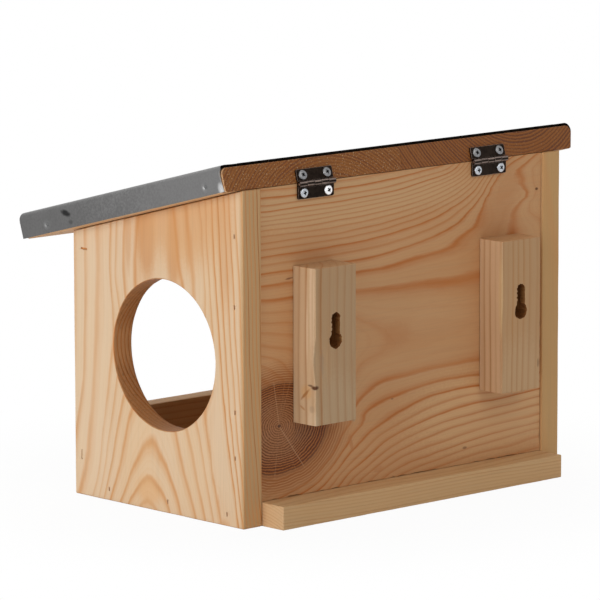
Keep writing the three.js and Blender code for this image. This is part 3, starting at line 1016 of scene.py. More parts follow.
def lid_place() -> Matrix:
    """The roof's frame: Y up the slope, Z out of the roof, from the boards' rear lower edge.

    Returns:
        That frame, in the part's.
    """
    corners = [vertex.co for vertex in frame["nodes"]["roof_board_right"].data.vertices]
    rear = max(corners, key=lambda corner: corner.y)
    front = min(corners, key=lambda corner: corner.z)
    slope = math.atan2(rear.z - front.z, rear.y - front.y)
    return Matrix.Translation((0, rear.y, rear.z)) @ Matrix.Rotation(slope, 4, "X")


LID = lid_place()
SLOPE = LID.to_euler().x
PIN = Vector(frame["joints"][0]["pos_m"])


def board_frame(origin: Vector, grain: Vector, across: Vector) -> Matrix:
    """A board's own frame: X along the grain, Y across and Z through it."""
    turn = Matrix((grain, across, grain.cross(across))).transposed().to_4x4()
    return Matrix.Translation(origin) @ turn


def set_grain(made: Piece, growth: Growth, own: Matrix, base: Matrix = Matrix.Identity(4)) -> None:
    """Gives a board a frame of its own, leaves its mesh where it is and writes its rings on it.

    Args:
        made: the board, with its mesh in the base frame.
        growth: its rings.
        own: its own frame, in the base frame.
        base: the base frame, in the part's.
    """
    made.data.transform(own.inverted())
    made.matrix_world = base @ own
    spots = np.empty(len(made.data.vertices) * 3)
    made.data.vertices.foreach_get("co", spots)
    rings = made.data.attributes.new("rings", "FLOAT", "POINT")
    rings.data.foreach_set("value", growth.count(spots.reshape(-1, 3)).astype(np.float32))


# The box


@dataclass
class Wires:
    """The brads and staples in one side panel, sunk under its face."""

    side: int
    wire: float = 1.2 * MM
    room: float = 0.06 * MM
    tip: float = 2.0 * MM
    sunk: float = 1.6 * MM
    mouth: float = 2.0 * MM
    torn: float = 0.22 * MM
    soft: float = 0.18 * MM

    def names(self) -> list[str]:
        """The CAD nodes of this side's brads and staples."""
        word = side_word(self.side)
        brads = [f"brad_{word}_back_{i}" for i in range(1, 5)]
        brads += [f"brad_{word}_floor_{i}" for i in range(1, 4)]
        return brads + [f"staple_{word}_lip", f"staple_{word}_rail"]

    def slots(self) -> list[Form]:
        """The torn slots that the crowns leave in the panel's face.

        Returns:
            One cutter for each.
        """
        cutters = []
        for name in self.names():
            low, high = extent(name)
            face = high.x if self.side > 0 else low.x
            start = Vector((face - self.side * self.sunk, low.y - self.room, low.z - self.room))
            end = Vector((face + self.side * self.mouth, high.y + self.room, high.z + self.room))
            form = block(*(Vector(map(pick, start, end)) for pick in (min, max)))
            slice_up(form, 0.6 * MM)
            for vertex in form.verts:
                out = self.side * (vertex.co.x - face) / (0.5 * MM)
                ragged = noise.noise_vector(vertex.co * 1900.0) * self.torn
                vertex.co += Vector((0, ragged.y, ragged.z)) * (1.0 + 0.5 * max(0.0, min(1.0, out)))
            cutters.append(form)
        return cutters

    def build(self, metals: dict[str, Finish]) -> None:
        """Makes each brad and staple.

        Args:
            metals: the materials of brads and staples.
        """
        for name in self.names():
            low, high = extent(name)
            made = to_object(block(*self.crown(low, high)), name + "_wire")
            for level in self.leg_levels(name, low, high):
                carve(made, self.leg(low, high, level), Work.JOIN)
            form = bmesh.new()
            form.from_mesh(made.data)
            ease(form, self.soft, 2)
            form.to_mesh(made.data)
            form.free()
            steel = metals[name.split("_")[2] if name.startswith("staple") else "brad"]
            settle(made, "box", name, [steel])

    def crown(self, low: Vector, high: Vector) -> tuple[Vector, Vector]:
        """The corners of a crown.

        Args:
            low: the wire's lowest corner.
            high: the wire's highest corner.

        Returns:
            The crown's lowest and highest corners.
        """
        if self.side > 0:
            return Vector((high.x - self.wire, low.y, low.z)), high
        return low, Vector((low.x + self.wire, high.y, high.z))

    def leg_levels(self, name: str, low: Vector, high: Vector) -> list[float]:
        """Where along its crown each leg of a wire is, from 0 to 1.

        Args:
            name: the wire's CAD node.
            low: its lowest corner.
            high: its highest corner.

        Returns:
            One level for a brad, two for a staple.
        """
        if name.startswith("brad"):
            return [0.5]
        inset = self.wire / 2 / max(high.y - low.y, high.z - low.z)
        return [inset, 1 - inset]

    def leg(self, low: Vector, high: Vector, level: float) -> Form:
        """A straight leg with a chisel point.

        Args:
            low: the wire's lowest corner.
            high: the wire's highest corner.
            level: where along the crown it starts.

        Returns:
            The leg.
        """
        long_axis = Axis.Y if high.y - low.y > high.z - low.z else Axis.Z
        middle = (low + high) / 2
        middle += long_axis.value * ((level - 0.5) * (high - low).dot(long_axis.value))
        half = self.wire / 2 - 0.01 * MM
        root = (high.x if self.side > 0 else low.x) - self.side * self.wire / 2
        end = low.x if self.side > 0 else high.x
        neck = end + self.side * self.tip
        outline = [(root, -half), (neck, -half), (end, 0.0), (neck, half), (root, half)]
        form = prism(outline, Axis.Z, -half, half)
        for vertex in form.verts:
            vertex.co += Vector((0, middle.y, middle.z))
        return form


@dataclass
class SidePanel:
    """A side panel with its round entry hole."""

    side: int
    arris: float = 0.8 * MM
    hole_radius: float = 46.5 * MM
    hole_from_rear: float = 71.5 * MM
    hole_height: float = 97.2 * MM
    rim: float = 0.7 * MM
    sides: int = 160

    def build(self, pine: Finish, sawn: Finish, growth: Growth) -> None:
        """Makes the panel.

        Args:
            pine: its material.
            sawn: the material of the hole's wall, sawn pine tinted warmer and darker, partly as painted
                shade.
            growth: its rings.
        """
        name = "side_panel_" + side_word(self.side)
        low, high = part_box(name)
        front = high.z - (high.y - low.y) * math.tan(SLOPE)
        outline = [(low.y, low.z), (high.y, low.z), (high.y, high.z), (low.y, front)]
        form = prism(outline, Axis.X, low.x, high.x)
        ease(form, self.arris, 4)
        slice_up(form, 4 * MM)
        weather(form, 0.3 * self.side, 0.10 * MM, 0.30 * MM)
        hold(form, low, high)
        made = to_object(form, name + "_board")
        carve(made, self.hole(low, high))
        carve(made, merge(Wires(self.side).slots()))
        outer = high.x if self.side > 0 else low.x
        # Faces of the hole's wall wear the sawn pine, tinted partly as painted shade inside the hole.
        wall = []
        for face in made.data.polygons:
            behind = face.center.y - high.y + self.hole_from_rear
            away = math.hypot(behind, face.center.z - self.hole_height)
            wall.append(int(away < self.hole_radius + self.rim and abs(face.normal.x) < 0.9))
        across = Vector((0, -self.side, 0))
        set_grain(made, growth, board_frame(Vector((outer, 0, 0)), Axis.Z.value, across))
        settle(made, "box", name, [pine, sawn], wall)

    def hole(self, low: Vector, high: Vector) -> Form:
        """The entry hole's cutter, flared where the saw left a softened rim.

        Args:
            low: the panel's lowest corner.
            high: its highest corner.

        Returns:
            The cutter.
        """
        half = (high.x - low.x) / 2
        lip = [(1 - math.sin(turn), 1 - math.cos(turn)) for turn in spread(0.0, QUARTER, 4)]
        upper = [(self.hole_radius + self.rim * flare, half - self.rim * sink) for flare, sink in lip]
        beyond = (self.hole_radius + self.rim, half + 3 * MM)
        profile = [(0.0, -beyond[1]), (beyond[0], -beyond[1])]
        profile += [(radius, -height) for radius, height in upper]
        profile += [(radius, height) for radius, height in reversed(upper)]
        profile += [beyond, (0.0, beyond[1])]
        centre = Vector(((low.x + high.x) / 2, high.y - self.hole_from_rear, self.hole_height))
        place = Matrix.Translation(centre) @ Matrix.Rotation(QUARTER, 4, "Y")
        seed = 3.0 * self.side

        def wave(turn: float) -> float:
            """The saw's wander round the hole."""
            at = Vector((math.cos(turn), math.sin(turn), seed))
            return 0.22 * MM * noise.noise(at * 2.5) + 0.10 * MM * noise.noise(at * 14.0)

        return lathe(profile, self.sides, place, wave)


@dataclass
class BackPanel:
    """The back panel, with a ragged saw cut at its foot and its left end."""

    arris: float = 0.3 * MM
    chip: float = 0.9 * MM
    seam: float = 0.25 * MM

    def build(self, pine: Finish, growth: Growth) -> None:
        """Makes the panel.

        Args:
            pine: its material.
            growth: its rings.
        """
        low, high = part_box("back_panel")
        low -= Vector((self.seam, 0, self.seam))
        high.x += self.seam
        inner = high.z - (high.y - low.y) * math.tan(SLOPE)
        outline = [(low.y, low.z), (high.y, low.z), (high.y, high.z), (low.y, inner)]
        form = prism(outline, Axis.X, low.x, high.x)
        ease(form, self.arris, 3)
        slice_up(form, 3 * MM)
        weather(form, 1.7, 0.10 * MM, 0.22 * MM)
        self.tear(form, low, high)
        hold(form, low, high)
        made = to_object(form, "back_panel_board")
        set_grain(made, growth, board_frame(Vector((0, high.y, 0)), -Axis.X.value, Axis.Z.value))
        settle(made, "box", "back_panel", [pine])

    def tear(self, form: Form, low: Vector, high: Vector) -> None:
        """Tears chips from the edges along the floor and the left side.

        Args:
            form: the panel.
            low: its lowest corner.
            high: its highest corner.
        """
        for vertex in form.verts:
            if vertex.co.y < high.y - 2 * MM:
                continue
            bite = max(0.0, noise.noise(vertex.co * 310.0) + 0.15) * self.chip
            if vertex.co.z < low.z + 1.2 * MM:
                vertex.co.z += bite
            if vertex.co.x < low.x + 1.2 * MM and vertex.co.z < 0.10:
                vertex.co.x += bite


@dataclass
class PlainBoard:
    """A board with square ends and softened edges, such as the floor."""

    name: str
    seed: float
    grain: Vector
    across: Vector
    arris: float = 0.7 * MM
    step: float = 5 * MM

    def build(self, pine: Finish, growth: Growth) -> None:
        """Makes the board.

        Args:
            pine: its material.
            growth: its rings.
        """
        low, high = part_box(self.name)
        form = block(low, high)
        ease(form, self.arris, 3)
        slice_up(form, self.step)
        weather(form, self.seed, 0.10 * MM, 0.25 * MM)
        hold(form, low, high)
        made = to_object(form, self.name + "_board")
        set_grain(made, growth, board_frame(Vector((0, 0, high.z)), self.grain, self.across))
        settle(made, "box", self.name, [pine])


@dataclass
class HangingBatten:
    """A hanging batten with its keyhole."""

    side: int
    arris: float = 0.25 * MM
    wane: float = 0.7 * MM
    entry_radius: float = 5.2 * MM
    slot_width: float = 7.1 * MM
    entry_from_end: float = 50.6 * MM
    rise: float = 13.5 * MM
    lip: float = 4.2 * MM
    depth: float = 11.0 * MM
    hollow: float = 2.8 * MM
    slight_hollow: float = 0.5 * MM
    fibres: int = 16
    torn: float = 0.7 * MM
    tooth: float = 0.45 * MM
    tooth_pitch: float = 1.4 * MM

    def build(self, pine: Finish, keyhole_shade: Finish, growth: Growth) -> None:
        """Makes the batten.

        Args:
            pine: its material.
            keyhole_shade: the material inside its keyhole, the pine darkened as painted shade.
            growth: its rings.
        """
        name = "hanging_batten_" + side_word(self.side)
        low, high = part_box(name)
        waned = arc((high.x - self.wane, high.y - self.wane), self.wane, spread(0.0, QUARTER, 5))
        outline = [(low.x, low.y), (high.x, low.y), *waned, (low.x, high.y)]
        form = prism(outline, Axis.Z, low.z, high.z)
        ease(form, self.arris, 3)
        slice_up(form, 3 * MM)
        weather(form, 5.1 * self.side, 0.10 * MM, 0.35 * MM)
        self.dip(form, low, high)
        hold(form, low, high)
        made = to_object(form, name + "_board")
        for cutter in self.keyhole(low, high):
            carve(made, cutter)
        whole = bmesh.new()
        whole.from_mesh(made.data)
        whole = merge([whole, self.fray(low, high)])
        whole.to_mesh(made.data)
        whole.free()
        middle = (low.x + high.x) / 2
        level = low.z + self.entry_from_end + self.rise / 2
        # Faces sunk inside the keyhole wear the darker pine: painted shade in the recess.
        keyhole_shade_faces = []
        for face in made.data.polygons:
            near = abs(face.center.x - middle) < 7 * MM and abs(face.center.z - level) < 14 * MM
            hollow = face.normal.y > 0.9 and face.center.y > high.y - self.lip
            sunk = low.y + MM < face.center.y < high.y - 0.25 * MM
            keyhole_shade_faces.append(int(near and sunk and not hollow))
        set_grain(made, growth, board_frame(Vector((middle, high.y, 0)), Axis.Z.value, Axis.X.value))
        settle(made, "box", name, [pine, keyhole_shade], keyhole_shade_faces)

    def dip(self, form: Form, low: Vector, high: Vector) -> None:
        """Takes a shallow hollow out of the rear face beside the arris, deeper on the right batten.

        Args:
            form: the batten.
            low: its lowest corner.
            high: its highest corner.
        """
        deepest = self.hollow if self.side > 0 else self.slight_hollow
        for vertex in form.verts:
            aside = 1.0 - (high.x - vertex.co.x) / (13 * MM)
            sunk = 1.0 - (high.y - vertex.co.y) / (9 * MM)
            along = 1.0 - ((vertex.co.z - low.z - 0.4 * (high.z - low.z)) / (15 * MM)) ** 2
            push = deepest * max(0.0, along) * max(0.0, aside) * max(0.0, sunk)
            vertex.co.y -= push * (0.8 + 0.4 * noise.noise(vertex.co * 90))

    def fray(self, low: Vector, high: Vector) -> Form:
        """Loose fibres at the batten's sawn foot.

        Args:
            low: the batten's lowest corner.
            high: its highest corner.

        Returns:
            The fibres.
        """
        draw = random.Random(31 + self.side)
        form = bmesh.new()
        for _ in range(self.fibres):
            x = draw.uniform(low.x + MM, high.x - 4 * MM)
            if draw.random() < 0.5:
                x = low.x + draw.uniform(0.2, 2.5) * MM
            root = Vector((x, high.y - draw.uniform(0.3, 0.9) * MM, low.z + 0.5 * MM))
            aside, back, down = draw.uniform(-1.4, 0.6), draw.uniform(-0.8, 0.2), draw.uniform(0.7, 2.6)
            tip = root + Vector((aside, back, -down)) * MM
            width = draw.uniform(0.25, 0.55) * MM
            base = [Vector((-width, 0, 0)), Vector((width, 0, 0)), Vector((0, -width, 0.4 * width))]
            corners = [form.verts.new(root + corner) for corner in base] + [form.verts.new(tip)]
            for a, b, c in ((0, 1, 3), (1, 2, 3), (2, 0, 3), (2, 1, 0)):
                form.faces.new((corners[a], corners[b], corners[c]))
        bmesh.ops.recalc_face_normals(form, faces=form.faces)
        return form

    def keyhole(self, low: Vector, high: Vector) -> list[Form]:
        """The cutters of the undercut keyhole, with the ragged mouth that the router left.

        Args:
            low: the batten's lowest corner.
            high: its highest corner.

        Returns:
            The mouth's cutter and the undercut's.
        """
        x, z = (low.x + high.x) / 2, low.z + self.entry_from_end
        seed = Vector((7.0 * self.side, 0, 0))

        half = self.slot_width / 2

        def ragged(corner: Point) -> Point:
            """A corner of the mouth, torn by the router, the slot's right side in steps."""
            at = Vector((corner[0], 0, corner[1])) * 700.0 + seed
            stepped = corner[1] > z + self.entry_radius and corner[0] > x + 0.8 * half
            step = self.tooth * (round((corner[1] - z) / self.tooth_pitch) % 2) if stepped else 0.0
            aside, along = self.torn * noise.noise(at), self.torn * noise.noise(at * 1.3)
            return corner[0] + aside - step, corner[1] + along

        def bow(radius: float, level: float, start: float, end: float, steps: int) -> list[Point]:
            """Points of a circle on the keyhole's middle line, from one angle in degrees to another."""
            return arc((x, level), radius, map(math.radians, spread(start, end, steps)))

        meet = math.degrees(math.acos(half / self.entry_radius))
        wall = [(x + half, z + self.rise * (0.33 + 0.62 * i / 16)) for i in range(17)]
        mouth = bow(self.entry_radius, z, 180 - meet, 360 + meet, 26) + wall
        mouth += bow(half, z + self.rise, 0, 180, 14) + [(2 * x - a, b) for a, b in reversed(wall)]
        under = bow(self.entry_radius, z, 180, 360, 20) + bow(self.entry_radius, z + self.rise, 0, 180, 20)
        floor = high.y - self.depth
        return [
            prism([ragged(corner) for corner in mouth], Axis.Y, floor, high.y + 2 * MM),
            prism(under, Axis.Y, floor + 0.02 * MM, high.y - self.lip),
        ]


# Screws, hinges and nails


@dataclass
class Screw:
    """A cross-head screw about its own Z, with its head's seat at the origin."""

    head: float = 3.0 * MM
    shank: float = 1.3 * MM
    long: float = 12.0 * MM
    proud: float = 0.2 * MM
    dome: float = 0.9 * MM
    recess: float = 1.9 * MM
    blade: float = 0.95 * MM
    sides: int = 40

    def build(
        self,
        node: str,
        place: Matrix,
        body: str,
        metals: Sequence[Finish],
        turn: float,
        tilt: float,
    ) -> None:
        """Makes the screw.

        Args:
            node: the CAD node that it stands for.
            place: from the screw's frame to the part's.
            body: the body that it holds to.
            metals: the materials of the head and of the painted shade in its recess.
            turn: how far its cross is turned.
            tilt: how far it leans in its hole.
        """
        seat = self.proud - (self.head - self.shank)
        profile = [(0.0, -self.long), (self.shank, 2.5 * MM - self.long), (self.shank, seat)]
        profile += [(self.head * 0.985, self.proud - 0.05 * MM), (self.head, self.proud)]
        for bend in spread(0.0, QUARTER, 7)[1:-1]:
            profile.append((self.head * math.cos(bend) ** 0.8, self.proud + self.dome * math.sin(bend)))
        top = self.proud + self.dome
        profile.append((0.0, top))
        made = to_object(lathe(profile, self.sides), node + "_head")
        for angle in (0.0, QUARTER):
            wide, narrow = self.head * 0.44, self.head * 0.16
            shoulder, floor = top - 0.35 * MM, top - self.recess
            outline = [(-wide, top + MM), (wide, top + MM), (wide, shoulder), (narrow, floor)]
            outline += [(-narrow, floor), (-wide, shoulder)]
            blade = prism(outline, Axis.Y, -self.blade / 2, self.blade / 2)
            bmesh.ops.rotate(blade, verts=blade.verts, matrix=Matrix.Rotation(angle, 3, "Z"))
            carve(made, blade)
        # Faces down in the cross wear a very dark metal: painted shade in the recess.
        shaded_recess = []
        for face in made.data.polygons:
            near = math.hypot(face.center.x, face.center.y) < 0.62 * self.head
            sunk = 0 < top - face.center.z < 2 * self.recess and face.normal.z < 0.7
            bottom = -MM < face.center.z < top - self.recess + 0.1 * MM
            shaded_recess.append(int(near and (sunk or bottom)))
        lean = Matrix.Rotation(turn, 4, "Z") @ Matrix.Rotation(tilt, 4, "X")
        made.matrix_world = place @ lean
        settle(made, body, node, metals, shaded_recess)


@dataclass
class ButtHinge:
    """A small butt hinge: two rolled leaves, a pin and four screws."""

    side: int
    leaf: float = 1.2 * MM
    reach: float = 9.2 * MM
    knuckle: float = 1.7 * MM
    bore: float = 0.95 * MM
    knuckles: int = 5
    play: float = 0.3 * MM
    corner: float = 1.1 * MM
    screw_head: float = 3.0 * MM
    soft: float = 0.16 * MM
    pin_radius: float = 0.9 * MM

    def build(self, metals: dict[str, Finish]) -> None:
        """Makes the hinge.

        Args:
            metals: the materials of leaves, of their edges, lighter with wear and a painted sheen, and of
                screws.
        """
        word = side_word(self.side)
        low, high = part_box(f"hinge_leaf_{word}_box")
        span = (low.x, high.x)
        flat = Matrix.Translation(Vector((0, low.y, PIN.z)))
        pin = LID.inverted() @ PIN
        slanted = LID @ Matrix.Translation(Vector((0, extent(f"hinge_leaf_{word}_roof", LID)[0].y, pin.z)))
        for half, place, up, parity, body in (("box", flat, -1, 0, "box"), ("roof", slanted, 1, 1, "lid")):
            leaf = f"hinge_leaf_{word}_{half}"
            screws = [f"hinge_screw_{word}_{half}_{i}" for i in (1, 2)]
            seats = [self.seat(sum(extent(screw, place), Vector()) / 2) for screw in screws]
            made = self.rolled(leaf, span, up, parity, seats)
            made.matrix_world = place
            turned = [face.normal for face in made.data.polygons]
            # Faces that turn round a leaf's edges wear a lighter bronze: wear, with a painted sheen.
            edges = [int(max(abs(n.x), abs(n.z)) < 0.93 and 0.2 < abs(n.y) < 0.93) for n in turned]
            settle(made, body, leaf, [metals["bronze"], metals["wear_and_sheen"]], edges)
            for i, (screw, seat) in enumerate(zip(screws, seats)):
                head, turn, tilt = HINGE_SCREWS[(word, half, i)]
                Screw().build(screw, place @ seat, body, (metals[head], metals["recess"]), turn, tilt)
        self.pin(word, span, metals["pin"])

    def seat(self, centre: Vector) -> Matrix:
        """A screw's frame on a leaf's face, with Z out of the leaf."""
        place = Matrix.Translation(Vector((centre.x, self.leaf, centre.z)))
        return place @ Matrix.Rotation(-QUARTER, 4, "X")

    def rolled(
        self, name: str, span: Point, up: int, parity: int, seats: Sequence[Matrix]
    ) -> Piece:
        """One leaf, in a frame with its back at y = 0 and the pin at z = 0.

        Args:
            name: the leaf's name.
            span: where it starts and ends along the pin.
            up: +1 for a leaf above the pin, -1 for one below.
            parity: which knuckles are its own.
            seats: the frames of its screws.

        Returns:
            The leaf.
        """
        made = to_object(self.plate(span, up), name + "_rolled")
        depth = self.screw_head + 0.35 * MM
        cone = [(0.0, -depth), (depth, 0.0), (depth + MM, MM), (0.0, MM)]
        carve(made, merge(lathe(cone, 40, seat) for seat in seats))
        pitch = (span[1] - span[0]) / self.knuckles
        for k in range(parity, self.knuckles, 2):
            start = span[0] + k * pitch
            inset = (0.0 if k == 0 else self.play / 2, 0.0 if k == self.knuckles - 1 else self.play / 2)
            curl = prism(self.curl(up), Axis.X, start + inset[0], start + pitch - inset[1])
            ease(curl, 0.1 * MM, 2)
            carve(made, curl, Work.JOIN)
        return made

    def plate(self, span: Point, up: int) -> Form:
        """The flat part of a leaf, with rounded outer corners.

        Args:
            span: where it starts and ends along the pin.
            up: +1 for a leaf above the pin, -1 for one below.

        Returns:
            The plate.
        """
        inner = up * (self.knuckle + self.play)
        level = up * (self.reach - self.corner)
        turns = spread(0.0, up * QUARTER, 5)
        right = [(span[1], inner), *arc((span[1] - self.corner, level), self.corner, turns)]
        left = [(span[0] + span[1] - a, b) for a, b in reversed(right)]
        form = prism(right + left, Axis.Y, 0.0, self.leaf)
        ease(form, self.soft, 2)
        return form

    def curl(self, up: int) -> list[Point]:
        """The section of a knuckle and the strip that joins it to the plate.

        Args:
            up: +1 for a leaf above the pin, -1 for one below.

        Returns:
            The section's corners, along Y and Z.
        """
        edge = 0.015 * MM
        foot = -(self.knuckle + self.play + 0.8 * MM)
        front = self.leaf - self.knuckle - edge
        below = math.degrees(math.atan2(-math.sqrt(self.bore**2 - front**2), front)) % 360
        section = [(edge - self.knuckle, foot)]
        section += arc((0, 0), self.knuckle, map(math.radians, spread(180, -72, 24)))
        section += arc((0, 0), self.bore, map(math.radians, spread(-72, below, 24)))
        section += [(front, foot)]
        return [(self.knuckle + a, -up * b) for a, b in section]

    def pin(self, word: str, span: Point, metal: Finish) -> None:
        """Makes the hinge pin, with slightly rounded ends.

        Args:
            word: the side's name.
            span: where it starts and ends.
            metal: its material.
        """
        radius, soft = self.pin_radius, 0.25 * MM
        half = (span[1] - span[0]) / 2
        profile = [(0.0, -half), (radius - soft, -half), (radius, soft - half)]
        profile += [(radius, half - soft), (radius - soft, half), (0.0, half)]
        middle = Vector((span[0] + half, PIN.y, PIN.z))
        rod = lathe(profile, 32, Matrix.Translation(middle) @ Matrix.Rotation(QUARTER, 4, "Y"))
        settle(to_object(rod, f"hinge_pin_{word}_rod"), "box", f"hinge_pin_{word}", [metal])


# By side, leaf and number: the head's metal, how far its cross is turned, and how far the screw leans. The
# bright head is a painted glint.
HINGE_SCREWS = {
    ("right", "box", 0): ("bright", 0.5, 0.10),
    ("right", "box", 1): ("plate", 0.2, 0.03),
    # The roof leaves' screws wear a darker copy of the plating: painted shade.
    ("right", "roof", 0): ("shaded", 0.3, 0.16),
    ("right", "roof", 1): ("shaded", 0.9, 0.20),
    ("left", "box", 0): ("plate", 0.7, 0.05),
    ("left", "box", 1): ("plate", 0.1, 0.05),
    ("left", "roof", 0): ("shaded", 0.4, 0.12),
    ("left", "roof", 1): ("shaded", 1.1, 0.15),
}


# The roof


@dataclass
class Roof:
    """Two glued boards under a folded metal sheet. Sizes are in the roof's own frame."""

    board: float = 14.6 * MM
    fit: float = 0.3 * MM
    sheet: float = 0.8 * MM
    bend: float = 4.2 * MM
    foot: float = 1.2 * MM
    flange_short: float = 0.5 * MM
    hem: float = 8.0 * MM
    nail_height: float = 5.8 * MM
    nails_from_rear: Point = (16.0 * MM, 166.8 * MM)
    nail_sunk: float = 0.45 * MM
    dimple: float = 0.75 * MM
    dimple_reach: float = 1.7 * MM
    sprung: float = 1.9 * MM
    sag: float = 0.17 * MM
    ends: dict[int, Point] = field(default_factory=dict)

    def build(
        self,
        pines: Sequence[Finish],
        growths: Sequence[Growth],
        zinc: Sequence[Finish],
        steel: Finish,
    ) -> None:
        """Makes the boards, the sheet and its nails.

        Args:
            pines: the materials of the right and the left board.
            growths: the two boards' rings.
            zinc: the sheet's zinc, and a very dark material that is painted shade on its hems and rear
                edge.
            steel: the nails' material.
        """
        for side, pine, growth in zip((1, -1), pines, growths):
            self.plank(side, pine, growth)
        self.skin(zinc)
        for side in (1, -1):
            for i, back in enumerate(self.nails_from_rear):
                self.nail(side, i + 1, back, steel)

    def end(self, side: int, height: float, offset: float = 0.0) -> Vector:
        """A point on the line of a board's end.

        Args:
            side: +1 for the right board, -1 for the left.
            height: its height over the board's underside.
            offset: how far it is moved out.

        Returns:
            The point.
        """
        foot, top = self.ends[side]
        lean = (top - foot) / self.board
        return Vector((foot + lean * height + side * offset * math.hypot(1.0, lean), 0, height))

    def plank(self, side: int, pine: Finish, growth: Growth) -> None:
        """Makes one roof board.

        Args:
            side: +1 for the right one, -1 for the left.
            pine: its material.
            growth: its rings.
        """
        name = "roof_board_" + side_word(side)
        low, high = extent(name, LID)
        back = LID.inverted()
        corners = [back @ vertex.co for vertex in frame["nodes"][name].data.vertices]
        pick = max if side > 0 else min
        foot = pick(corner.x for corner in corners if corner.z < low.z + 0.1 * MM)
        top = pick(corner.x for corner in corners if corner.z > high.z - 0.1 * MM)
        self.ends[side] = (foot, top)
        glued = low.x if side > 0 else high.x
        r, turned = self.bend, QUARTER + side * math.atan2(top - foot, high.z - low.z)
        hub = Vector((top - side * r * math.tan(turned / 2), high.z - r))
        turns = spread(side * turned, 0.0, 6)
        bend = [(hub.x + r * math.sin(turn), hub.y + r * math.cos(turn)) for turn in turns]
        ankle = [(foot - side * self.foot, low.z), (foot - side * 0.3 * self.foot, low.z + 0.3 * self.foot)]
        ankle.append((foot + (top - foot) * self.foot / self.board, low.z + self.foot))
        form = prism([(glued, low.z), *ankle, *bend, (glued, high.z)], Axis.Y, low.y, high.y)
        ease(form, 0.3 * MM, 3)
        slice_up(form, 4.5 * MM, (Axis.X, Axis.Y))
        slice_up(form, 2.2 * MM, (Axis.Z,))
        weather(form, 9.0 * side, 0.08 * MM, 0.20 * MM)
        hold(form, low, high)
        made = to_object(form, name + "_plank")
        set_grain(made, growth, board_frame(Vector(), Axis.Y.value, -Axis.X.value), LID)
        settle(made, "lid", name, [pine])

    def skin(self, zinc: Sequence[Finish]) -> None:
        """Makes the folded sheet with its hems.

        Args:
            zinc: its zinc, and the very dark painted shade for its hems and rear edge.
        """
        low, high = extent("roof_sheet", LID)
        section, top_range = self.section()
        stations = self.stations(low.y + self.sheet, high.y - self.sheet)
        form = bmesh.new()
        grid = [[form.verts.new(self.dented(point, side, y)) for point, side in section] for y in stations]
        middle = self.board + self.fit + 1.5 * self.sheet
        for toward, row, edge in ((1, grid[-1], stations[-1]), (-1, grid[0], stations[0])):
            previous = row
            for dy, dz in self.fold():
                line: Row = [None] * len(row)
                for i in top_range:
                    line[i] = form.verts.new(Vector((row[i].co.x, edge + toward * dy, middle + dz)))
                self.join(form, previous, line, toward, 1)
                previous = line
        for lower, upper in zip(grid, grid[1:]):
            self.join(form, lower, upper, 1, 0)
        bmesh.ops.recalc_face_normals(form, faces=form.faces)
        made = to_object(form, "roof_sheet_skin")
        thick = made.modifiers.new("thickness", "SOLIDIFY")
        thick.thickness = self.sheet
        thick.offset = 0.0
        thick.use_even_offset = True
        apply_modifiers(made)
        for vertex in made.data.vertices:
            held = clamped(vertex.co, low, high)
            vertex.co = LID.inverted() @ clamped(LID @ held, *CAD_BOX)
        # The hems and a strip along the rear edge wear the very dark material: painted shade where the
        # sheet's edge meets the boards.
        corner = min(self.ends[1]) - self.fit
        hem_shade = []
        for face in made.data.polygons:
            at_rear = face.center.y > high.y - 2.4 * self.sheet and face.center.x < corner
            hem_shade.append(int(face.material_index or at_rear))
        made.data.transform(LID)
        settle(made, "lid", "roof_sheet", zinc, hem_shade)

    def join(self, form: Form, lower: Row, upper: Row, toward: int, finish: int) -> None:
        """Adds the faces between two rows of points, where both rows have them.

        Args:
            form: the mesh.
            lower: one row.
            upper: the next row.
            toward: +1 up the slope, -1 down it.
            finish: the faces' material.
        """
        for i in range(len(lower) - 1):
            corners = [lower[i], lower[i + 1], upper[i + 1], upper[i]]
            if all(corners):
                form.faces.new(corners[::toward]).material_index = finish

    def fold(self) -> list[Point]:
        """The hem's middle line from the sheet's edge: out, round and back under."""
        radius = self.sheet / 2 + 0.03 * MM
        turns = spread(QUARTER, -QUARTER, 6)[1:]
        nose = [(radius * math.cos(turn), radius * (math.sin(turn) - 1)) for turn in turns]
        return nose + [(-self.hem * share, -2 * radius) for share in (0.3, 0.65, 1.0)]

    def section(self) -> tuple[list[tuple[Vector, int]], range]:
        """The sheet's middle line across the slope.

        Returns:
            Its points, each with the side of its flange or 0, and the range of them that a hem can hold.
        """
        offset = self.fit + self.sheet / 2
        top = self.board + self.fit + 1.5 * self.sheet
        radius = self.bend + self.sheet / 2
        points: list[tuple[Vector, int]] = []
        for side in (1, -1):
            foot, head = self.end(side, self.flange_short, offset), self.end(side, top, offset)
            rise = (head - foot).normalized()
            half = rise.angle(Vector((-side, 0, 0))) / 2
            reach = radius * math.tan(half)
            start = head - rise * reach
            centre = start + Vector((-side * rise.z, 0, side * rise.x)) * radius
            flange = [foot.lerp(start, i / 26) for i in range(27)]
            spoke = start - centre
            turn = -side * 2 * half
            bend = [centre + Matrix.Rotation(turn * i / 8, 3, "Y") @ spoke for i in range(1, 9)]
            flank = [(point, side) for point in flange + bend]
            if side > 0:
                points = flank
                continue
            level = flank[-1][0]
            across = [(points[-1][0].lerp(level, i / 56), 0) for i in range(1, 56)]
            first = len(points) + 1
            points = points + across + flank[::-1]
            last = len(points) - len(flank) - 1
        return points, range(first, last)

    def stations(self, start: float, end: float) -> list[float]:
        """Places down the slope, closer together round the nails and at the ends.

        Args:
            start: the front edge.
            end: the rear edge.

        Returns:
            The places, in order.
        """
        places = spread(start, end, 44)
        for back in self.nails_from_rear:
            places += [-back + step * 0.5 * MM for step in range(-9, 10)]
        places += [end - step * 0.8 * MM for step in range(1, 9)]
        places += [start + step * MM for step in range(1, 4)]
        ordered = sorted(places)
        return [y for i, y in enumerate(ordered) if i == 0 or y - ordered[i - 1] > 0.2 * MM or y == end]

